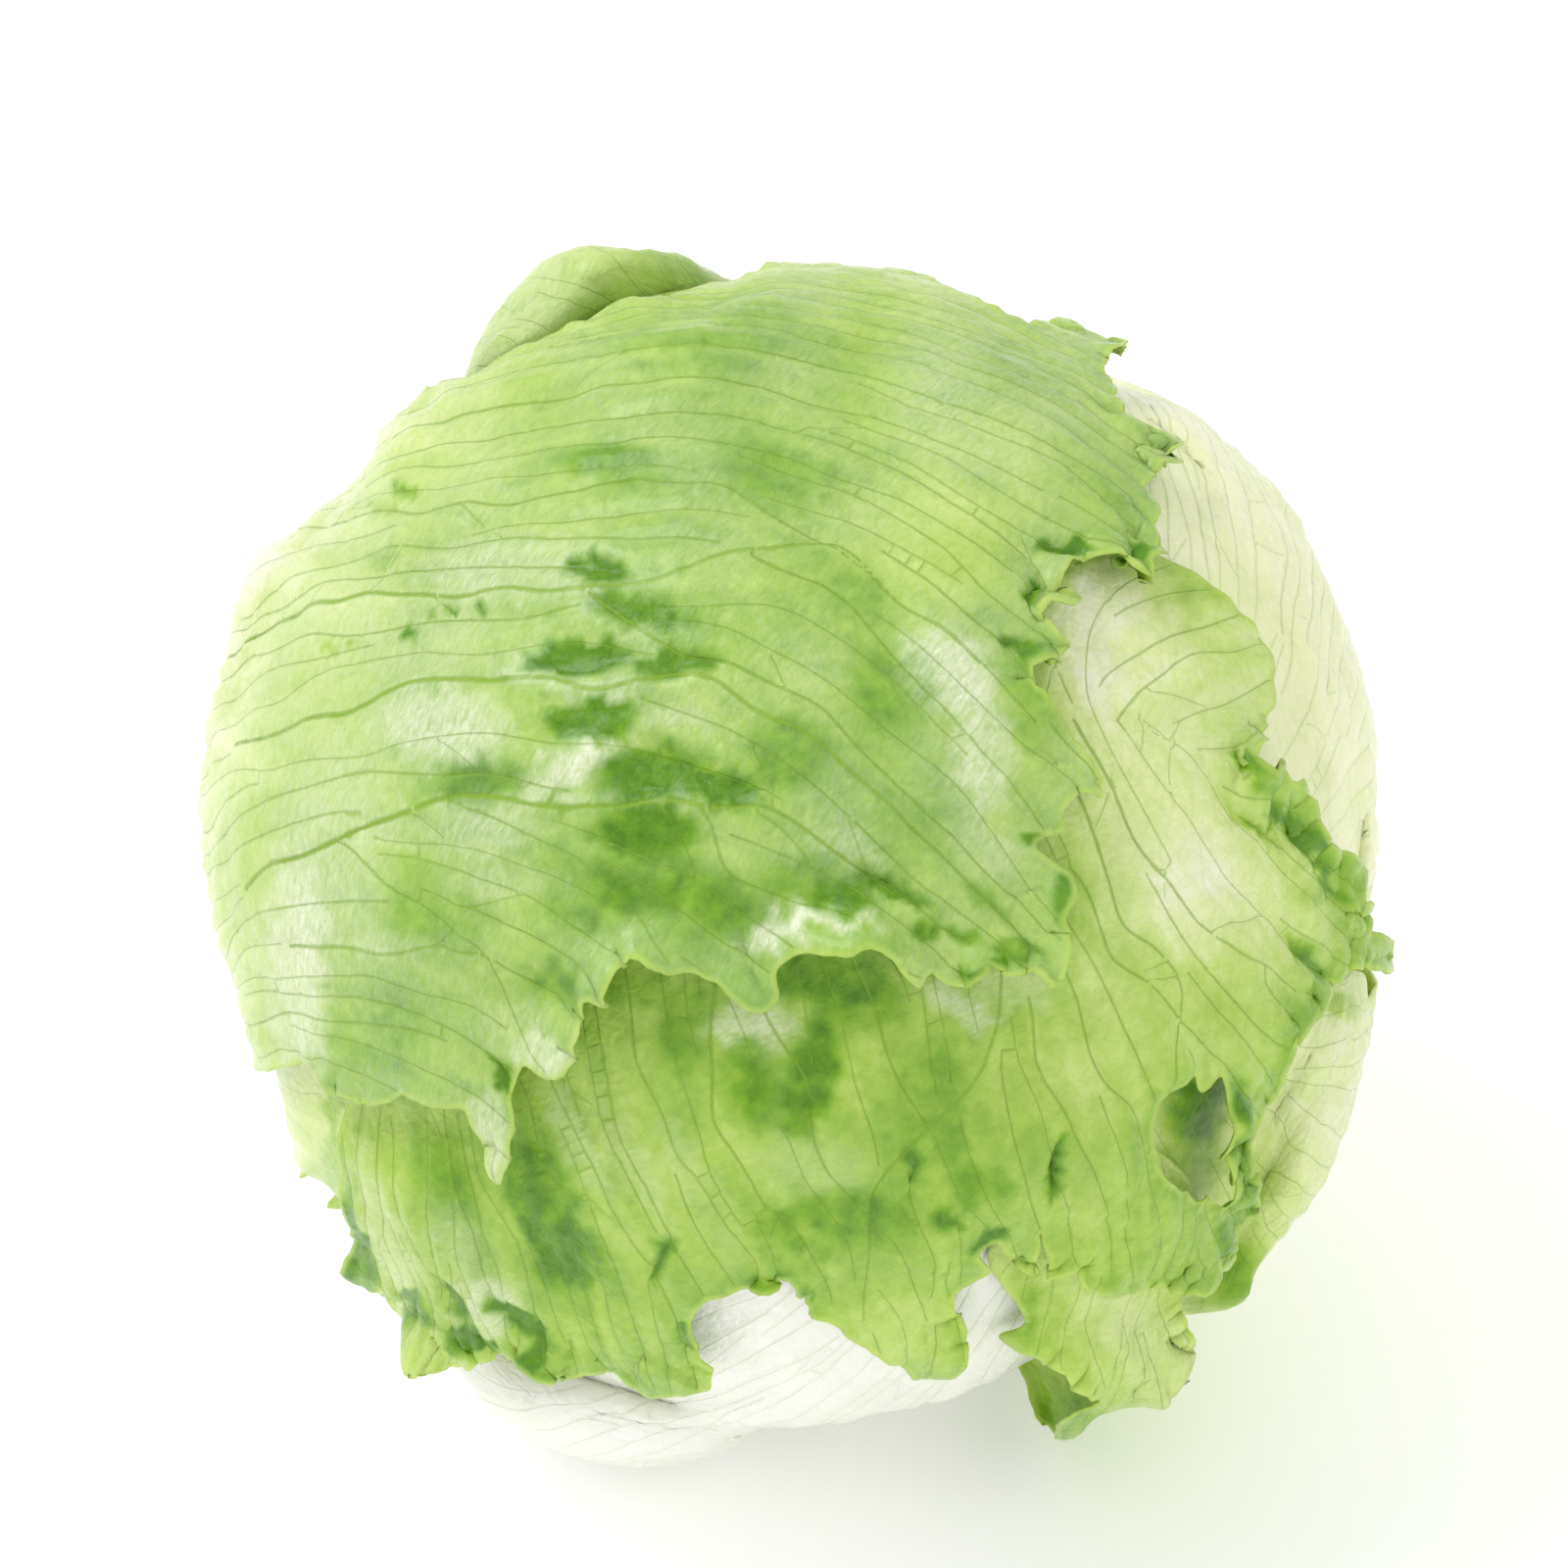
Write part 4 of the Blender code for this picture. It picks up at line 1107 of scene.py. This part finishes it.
def drapeLeaf(leaf, flat, rims, veinTree, widths, flow):
    number = leaf["number"]
    directions = fromChart(flat, leaf["axes"])
    level = np.full(len(flat), head["firstGap"])
    for inner in leaves[:number]:
        level += head["bladePitch"] * coverage(inner, directions)
    free, lift = freeness(number, directions)
    rimGap = np.full(len(flat), 1e9)
    along = np.zeros(len(flat))
    for loop in rims:
        gap, travelled = marginDistance(directions, fromChart(loop, leaf["axes"]))
        nearer = gap < rimGap
        rimGap[nearer] = gap[nearer]
        along[nearer] = travelled[nearer]
    # heading of the outer margin beside each point
    _, nearest = gapsTo(pointTree(rims[0]), flat)
    aside = closedRuns(fromChart(rims[0], leaf["axes"]))[nearest]
    veinGap, veinIndex = gapsTo(veinTree, flat)
    veinWidth = widths[veinIndex]
    roundStem, away = stemPlaces(directions, leaf["clock"])
    awayDegrees = np.degrees(away)
    spots = directions * head["radius"]
    seed = 500 + 30 * number
    loose = free ** 1.5

    # ruffles: waves along the margin that fold over each other, dying out inwards
    far = smoothStep((awayDegrees - frills["from"]) / frills["over"])
    height = ruffleHeights(leaf, directions)
    turn = 2.0 * math.pi * along / frills["wave"] + frills["phase"] * waves(along, frills["phaseWave"], seed)
    turn += frills["slant"] * rimGap
    reach = frills["reach"] * (0.8 + 0.25 * waves(along, frills["reachWave"], seed + 1))
    fade = hump(rimGap, reach)
    relief = height * fade * (0.5 + 0.5 * np.cos(turn))
    sideways = frills["overhang"] * height * hump(rimGap, frills["foldShare"] * reach) * np.sin(turn)
    slow = 0.5 + 0.5 * waves(along, frills["slowWave"], seed + 2)
    relief += frills["slowHeight"] * slow * far * hump(rimGap, frills["slowReach"])

    # the blade swells between its veins and wanders over broad and small puckers
    relief += veinSwell["height"] * (1.0 - hump(veinGap, veinSwell["reach"]))
    relief += veinSwell["streak"] * (1.0 + 0.5 * flow.streakAt(flat)).clip(0.0, 2.0)
    for order, (rise, length) in enumerate(puckers):
        relief += rise * (0.8 + 0.5 * waves(spots, length, seed + 3 + order)).clip(0.0, 2.0)

    # midrib and side ribs, thick and pale at the base
    rib = ribShape(leaf, roundStem, away)
    relief += ribs["height"] * rib * smoothStep((ribs["farthest"] - awayDegrees) / ribs["sink"])
    flatSeen, facing = frontPlaces(directions)
    relief += ridgeHeights(planFor(ridges, leaf), flatSeen) * facing
    relief -= ellipses(planFor(dents, leaf), flatSeen) * facing
    relief += ellipses(planFor(bulges, leaf), flatSeen) * facing
    for place, rise, width in planFor(lifts, leaf):
        relief += rise * hump(angleFrom(directions, place), width) * hump(rimGap, frills["liftReach"])

    skin = headForm(directions) + level
    settled = keepSeen(directions, skin + 2.2 * loose)
    out = settled * (skin + relief * loose)[:, None] + aside * (sideways * loose)[:, None]
    full = smoothStep(rimGap / mesh["rimReach"])
    thickness = mesh["thickness"] * (mesh["rimShare"] + (1.0 - mesh["rimShare"]) * full)
    floor = -head["middle"][2] + lift + thickness
    out[:, 2] = np.maximum(out[:, 2], floor)

    tone = leaf["green"]
    green = tone["base"] + (tone["tip"] - tone["base"]) * smoothStep(
        (awayDegrees - tone["from"]) / (tone["to"] - tone["from"]))
    # darker and paler patches, partly painted shade, and the painted sheen
    patchedAndShaded, bloom = blotches(leaf, directions)
    green += patchedAndShaded
    for order, (amount, length) in enumerate(tissue["wander"]):
        green += amount * waves(spots, length, seed + 6 + order)
    green += tissue["frill"] * (relief * loose / 3.0).clip(0.0, 1.0) * fade
    green -= tissue["rib"] * rib * smoothStep((ribs["farthestPale"] - awayDegrees) / ribs["paleSink"])
    streak = flow.streakAt(flat)
    green += tissue["streak"] * streak
    fields = {
        "greenness": np.minimum(green, tissue["most"]), "veinGap": veinGap,
        "veinWidth": veinWidth * far.clip(0.25, 1.0) * veinPlan["faint"].get(leaf["name"], 1.0),
        "rimGap": rimGap, "streak": streak, "bloom": bloom,
        "chart": np.concatenate((flat, np.zeros((len(flat), 1))), axis=1),
    }
    return out + head["middle"], thickness, fields


def ribShape(leaf, roundStem, away):
    # 1 on the midrib, less on the side ribs
    total = np.zeros(len(away))
    for place, share in ribs["places"]:
        offset = (roundStem - place) * np.sin(away) * head["radius"]
        width = ribs["start"] * share * (0.35 + 0.65 * np.exp(-away / 0.8))
        total = np.maximum(total, share * hump(offset, np.maximum(width, 0.6)))
    return total


# Materials
def linear(hexValue):
    parts = [int(hexValue[start:start + 2], 16) / 255.0 for start in (1, 3, 5)]
    return tuple(part / 12.92 if part <= 0.04045 else ((part + 0.055) / 1.055) ** 2.4 for part in parts) + (1.0,)


def newMaterial(name):
    material = bpy.data.materials.new(name)
    material.use_nodes = True
    return material, material.node_tree


def addNode(tree, kind, settings=None, links=None, out=0):
    # kind is a type, or the name of a node that is there already; settings are properties, inputs or ramp stops;
    # links are inputs fed by sockets; the chosen output comes back
    node = tree.nodes.get(kind) or tree.nodes.new(kind)
    for name, value in (settings or {}).items():
        if name == "stops":
            while len(node.color_ramp.elements) < len(value):
                node.color_ramp.elements.new(1.0)
            for element, (place, colour) in zip(node.color_ramp.elements, value):
                element.position = place
                element.color = linear(colour)
        elif isinstance(name, int) or name in node.inputs:
            node.inputs[name].default_value = value
        else:
            setattr(node, name, value)
    for name, socket in (links or {}).items():
        tree.links.new(socket, node.inputs[name])
    return node.outputs[out]


# rim: the margin's yellow-green, partly its own colour, partly painted light shining through the thin edge
bladeLooks = {
    "leaf_green": {
        "stops": [(0.0, "#f1f3d9"), (0.22, "#dbe7a2"), (0.42, "#bfd76f"), (0.62, "#a0c340"), (0.80, "#78a81a"),
                  (1.0, "#447a04")],
        "vein": "#82a828",
        "rim": "#bcd862",
        "roughness": 0.31,
    },
    "leaf_pale": {
        "stops": [(0.0, "#f7f8d6"), (0.30, "#e9f0b8"), (0.60, "#cbdf88"), (1.0, "#98c044")],
        "vein": "#cfdf98",
        "rim": "#b4d353",
        "roughness": 0.33,
    },
    "leaf_white": {
        "stops": [(0.0, "#f8f9ef"), (0.4, "#ebefd4"), (1.0, "#bdd58b")],
        "vein": "#e6ebd0",
        "rim": "#c0d878",
        "roughness": 0.40,
    },
}


def lettuceLeaf(name, look):
    # Fresh leaf: a waxy cuticle over soft wet tissue, so light goes in and the gloss breaks up on small bumps
    material, tree = newMaterial(name)
    place = addNode(tree, "ShaderNodeTexCoord", out="Object")
    chart = addNode(tree, "ShaderNodeAttribute", {"attribute_name": "chart"}, out="Vector")
    green, veinGap, veinWidth, rimGap, streak, bloom = (
        addNode(tree, "ShaderNodeAttribute", {"attribute_name": field}, out="Fac")
        for field in ("greenness", "veinGap", "veinWidth", "rimGap", "streak", "bloom"))

    # mottling of the tissue 6 mm across, flecks of 1.6 mm, cuticle grain, a soft crinkle and uneven gloss
    mottle, fleck, grain, crinkle, gloss = (
        addNode(tree, "ShaderNodeTexNoise", {"Scale": 1.0 / (across * mm), "Detail": detail, "Roughness": rough},
                {"Vector": place})
        for across, detail, rough in ((6.0, 5.0, 0.65), (1.6, 4.0, 0.6), (0.9, 3.0, 0.6), (3.4, 3.0, 0.5),
                                      (2.0, 4.0, 0.5)))
    tone = green
    for source, amount in ((mottle, 0.20), (fleck, 0.22)):
        tone = addNode(tree, "ShaderNodeMath", {"operation": "MULTIPLY_ADD", 1: amount}, {0: source, 2: tone})
    tone = addNode(tree, "ShaderNodeMath", {"operation": "SUBTRACT", 1: 0.21}, {0: tone})
    colour = addNode(tree, "ShaderNodeValToRGB", {"stops": look["stops"]}, {"Fac": tone})

    # painted sheen: a whitish haze in fine wrinkles across the veins, 0.6 by 1.7 mm
    wrinkles = addNode(tree, "ShaderNodeVectorMath", {"operation": "MULTIPLY", 1: (1.0 / 1.7, 1.0 / 0.6, 0.0)},
                       {0: chart})
    wrinkle = addNode(tree, "ShaderNodeTexNoise", {
        "Scale": 1.0, "Detail": 4.0, "Roughness": 0.65, "Distortion": 0.7}, {"Vector": wrinkles})
    ground = addNode(tree, "ShaderNodeMapRange", {
        "From Min": 0.34, "From Max": 0.66, "To Min": 0.62, "To Max": 1.30}, {"Value": wrinkle})
    paintedSheenMix = addNode(tree, "ShaderNodeMath", {"operation": "MULTIPLY", "use_clamp": True}, {0: bloom, 1: ground})
    colour = addNode(tree, "ShaderNodeMix", {"data_type": "RGBA", 7: linear("#e6ebcf")}, {0: paintedSheenMix, 6: colour}, out=2)

    # the drawn veins, each as wide and strong as its own value
    share = addNode(tree, "ShaderNodeMath", {"operation": "DIVIDE"}, {0: veinGap, 1: veinWidth})
    strength = addNode(tree, "ShaderNodeMapRange", {
        "From Min": 0.05, "From Max": 0.50, "To Min": 0.30, "To Max": 0.95}, {"Value": veinWidth})

    # fine net of veins between the drawn ones, in cells of 2.6 mm
    stray = addNode(tree, "ShaderNodeTexNoise", {"Scale": 0.4, "Detail": 3.0}, {"Vector": chart}, out="Color")
    netPlace = addNode(tree, "ShaderNodeVectorMath", {"operation": "MULTIPLY_ADD", 1: (3.0, 3.0, 0.0)},
                       {0: stray, 2: chart})
    net = addNode(tree, "ShaderNodeTexVoronoi", {"feature": "DISTANCE_TO_EDGE", "Scale": 1.0 / 2.6},
                  {"Vector": netPlace}, out="Distance")

    # how strongly the veins, the net, its blisters and the rim show; the rim is the margin's own yellow-green and
    # painted light shining through its thin edge
    veinLine, netLine, blister, rimColourAndGlow = (
        addNode(tree, "ShaderNodeMapRange", {
            "interpolation_type": "SMOOTHSTEP", "From Min": start, "From Max": end, "To Min": low, "To Max": high},
            {"Value": source})
        for source, start, end, low, high in (
            (share, 0.1, 1.2, 1.0, 0.0), (net, 0.0, 0.08, 0.12, 0.0), (net, 0.0, 0.36, 0.0, 1.0),
            (rimGap, 0.1, 1.0, 0.60, 0.0)))
    vein = addNode(tree, "ShaderNodeMath", {"operation": "MULTIPLY"}, {0: veinLine, 1: strength})
    for amount, paint in ((netLine, look["vein"]), (vein, look["vein"]), (rimColourAndGlow, look["rim"])):
        colour = addNode(tree, "ShaderNodeMix", {"data_type": "RGBA", 7: linear(paint)},
                         {0: amount, 6: colour}, out=2)

    # bumps in millimetres: grain, crinkle, wrinkles, streaks, blisters, and the veins sunk into the blade
    height = addNode(tree, "ShaderNodeMath", {"operation": "MULTIPLY", 1: 0.10}, {0: grain})
    for source, amount in ((crinkle, 0.38), (wrinkle, 0.12), (streak, 0.08), (blister, 0.12), (fleck, 0.10),
                           (vein, -0.22)):
        height = addNode(tree, "ShaderNodeMath", {"operation": "MULTIPLY_ADD", 1: amount}, {0: source, 2: height})
    normal = addNode(tree, "ShaderNodeBump", {"Strength": 0.85, "Distance": mm}, {"Height": height})

    rough = addNode(tree, "ShaderNodeMapRange", {
        "From Min": 0.3, "From Max": 0.7, "To Min": look["roughness"] - 0.06, "To Max": look["roughness"] + 0.12},
        {"Value": gloss})
    addNode(tree, "Principled BSDF", {
        "IOR": 1.32, "Subsurface Weight": 0.25, "Subsurface Radius": (1.0, 1.2, 0.4),
        "Subsurface Scale": 1.4 * mm, "Coat Weight": 0.22, "Coat Roughness": 0.16},
        {"Base Color": colour, "Roughness": rough, "Normal": normal})
    return material


def addFields(data, fields):
    for name, values in fields.items():
        if values.ndim == 2:
            layer = data.attributes.new(name, "FLOAT_VECTOR", "POINT")
            layer.data.foreach_set("vector", values.astype(np.float32).ravel())
        else:
            layer = data.attributes.new(name, "FLOAT", "POINT")
            layer.data.foreach_set("value", values.astype(np.float32))


def addObject(name, data):
    thing = bpy.data.objects.new(name, data)
    bpy.context.scene.collection.objects.link(thing)
    return thing


def makeLeaf(leaf, materials):
    flat, faces, rims, veinTree, widths, flow = leafLayout(leaf)
    spots, thickness, fields = drapeLeaf(leaf, flat, rims, veinTree, widths, flow)
    first = spots[faces[:, 0]]
    normals = np.cross(spots[faces[:, 1]] - first, spots[faces[:, 2]] - first)
    if float(np.sum(normals * (first - head["middle"]))) < 0.0:
        faces = faces[:, ::-1]
    data = bpy.data.meshes.new(leaf["name"] + "Blade")
    data.from_pydata((spots * mm).tolist(), [], faces.tolist())
    addFields(data, fields)
    data.shade_smooth()
    data.materials.append(materials[leaf["slot"]])
    blade = addObject(leaf["name"] + "Blade", data)
    group = blade.vertex_groups.new(name="thickness")
    for index, amount in enumerate(thickness / mesh["thickness"]):
        group.add([index], float(amount), "REPLACE")
    solid = blade.modifiers.new("Blade", "SOLIDIFY")
    solid.thickness = mesh["thickness"] * mm
    solid.offset = 1.0
    solid.vertex_group = "thickness"
    solid.use_rim = True
    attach(blade, "root")
    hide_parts(leaf["name"])
    print(leaf["name"], len(flat), "points")


for number, leaf in enumerate(leaves):
    prepareLeaf(leaf, number)

materials = {slot: lettuceLeaf("lettuceBlade_" + slot, look) for slot, look in bladeLooks.items()}
for leaf in leaves:
    makeLeaf(leaf, materials)
print("leaves made")


# Heart and stem
heartPlan = {
    "levels": 6,
    "inset": 0.2,
    "hollow": 9.0,        # depth round the stem
    "hollowEnd": 13.5,    # degrees from the stem, and over how many it fades
    "hollowFade": 3.0,
    "fields": {"greenness": 0.12, "veinGap": 9.0, "veinWidth": 0.3, "rimGap": 20.0, "streak": 0.0, "bloom": 0.0},
}


def makeHeart():
    # the tight inner head, which shows only through gaps between the leaves
    bpy.ops.mesh.primitive_ico_sphere_add(subdivisions=heartPlan["levels"], radius=1.0)
    heart = bpy.context.object
    heart.name = "innerHead"
    count = len(heart.data.vertices)
    flat = np.zeros(count * 3)
    heart.data.vertices.foreach_get("co", flat)
    directions = unitRows(flat.reshape(-1, 3))
    _, away = stemPlaces(directions, 0.0)
    near = smoothStep((heartPlan["hollowEnd"] - np.degrees(away)) / heartPlan["hollowFade"])
    radius = headForm(directions) - heartPlan["inset"] - heartPlan["hollow"] * near
    spots = directions * radius[:, None]
    cover = sum(head["bladePitch"] * coverage(leaf, directions) for leaf in leaves)
    spots[:, 2] = np.maximum(spots[:, 2], -head["middle"][2] + head["firstGap"] + cover)
    heart.data.vertices.foreach_set("co", ((spots + head["middle"]) * mm).ravel())
    fields = {name: np.full(count, value) for name, value in heartPlan["fields"].items()}
    addFields(heart.data, {**fields, "chart": spots})
    heart.data.shade_smooth()
    heart.data.materials.append(materials["leaf_pale"])
    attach(heart, "root")
    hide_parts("heart")


makeHeart()


def cutStem():
    # Cut stem: wet pith, cream white, with a brown tinge where it has dried
    material, tree = newMaterial("cutLettuceStem")
    place = addNode(tree, "ShaderNodeTexCoord", out="Object")
    noise = addNode(tree, "ShaderNodeTexNoise", {"Scale": 1.0 / (3.0 * mm), "Detail": 5.0}, {"Vector": place})
    colour = addNode(tree, "ShaderNodeValToRGB", {"stops": [
        (0.25, "#c9a877"), (0.42, "#e2d3ae"), (0.6, "#efe9d2"), (0.9, "#e9e8c8")]}, {"Fac": noise})
    normal = addNode(tree, "ShaderNodeBump", {"Strength": 0.5, "Distance": 0.6 * mm}, {"Height": noise})
    addNode(tree, "Principled BSDF", {
        "Roughness": 0.55, "Subsurface Weight": 0.2, "Subsurface Radius": (1.0, 0.8, 0.4),
        "Subsurface Scale": 2.0 * mm}, {"Base Color": colour, "Normal": normal})
    return material


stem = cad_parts["stem"]
stem.data.materials.clear()
stem.data.materials.append(cutStem())
print("heart and stem made")


# Floor, light and camera
table = {"size": 6.0, "colour": (0.95, 0.95, 0.95, 1.0), "roughness": 0.7, "glow": 0.19}


def addFloor():
    # Matt white table, lit a little from below like a light table
    bpy.ops.mesh.primitive_plane_add(size=table["size"])
    floor = bpy.context.object
    floor.name = "whiteTable"
    material, tree = newMaterial("mattWhiteTable")
    addNode(tree, "Principled BSDF", {
        "Base Color": table["colour"], "Roughness": table["roughness"],
        "Emission Color": (1.0, 1.0, 1.0, 1.0), "Emission Strength": table["glow"]})
    floor.data.materials.append(material)


lights = {
    "key": {"direction": (-0.52, -0.02, 0.85), "distance": 0.95, "size": 0.38, "power": 3.2},
    "side": {"direction": (0.45, -0.70, 0.55), "distance": 1.1, "size": 0.9, "power": 1.0},
    "world": 0.865,
}


def addLight(name, plan):
    light = bpy.data.lights.new(name, "AREA")
    light.shape = "SQUARE"
    light.size = plan["size"]
    light.energy = plan["power"]
    lamp = addObject(name, light)
    toward = Vector(plan["direction"]).normalized()
    lamp.location = Vector(head["middle"] * mm) + toward * plan["distance"]
    lamp.rotation_euler = toward.to_track_quat("Z", "Y").to_euler()


def addCamera():
    camera = bpy.data.cameras.new("camera")
    camera.lens = view["lens"]
    camera.sensor_width = 36.0
    eye = head["middle"] + frontNear * view["distance"]
    aim = head["middle"] + frontRight * view["aimRight"] + frontUp * view["aimUp"]
    body = addObject("camera", camera)
    body.location = eye * mm
    body.rotation_euler = Vector(aim - eye).to_track_quat("-Z", "Y").to_euler()
    bpy.context.scene.camera = body


addFloor()
addLight("softboxAbove", lights["key"])
addLight("softboxFront", lights["side"])
addCamera()
world = bpy.data.worlds.new("whiteStudio")
world.use_nodes = True
addNode(world.node_tree, "Background", {"Color": (1.0, 1.0, 1.0, 1.0), "Strength": lights["world"]})
bpy.context.scene.world = world
bpy.context.scene.view_settings.view_transform = "Standard"
print("stage, light and camera set")
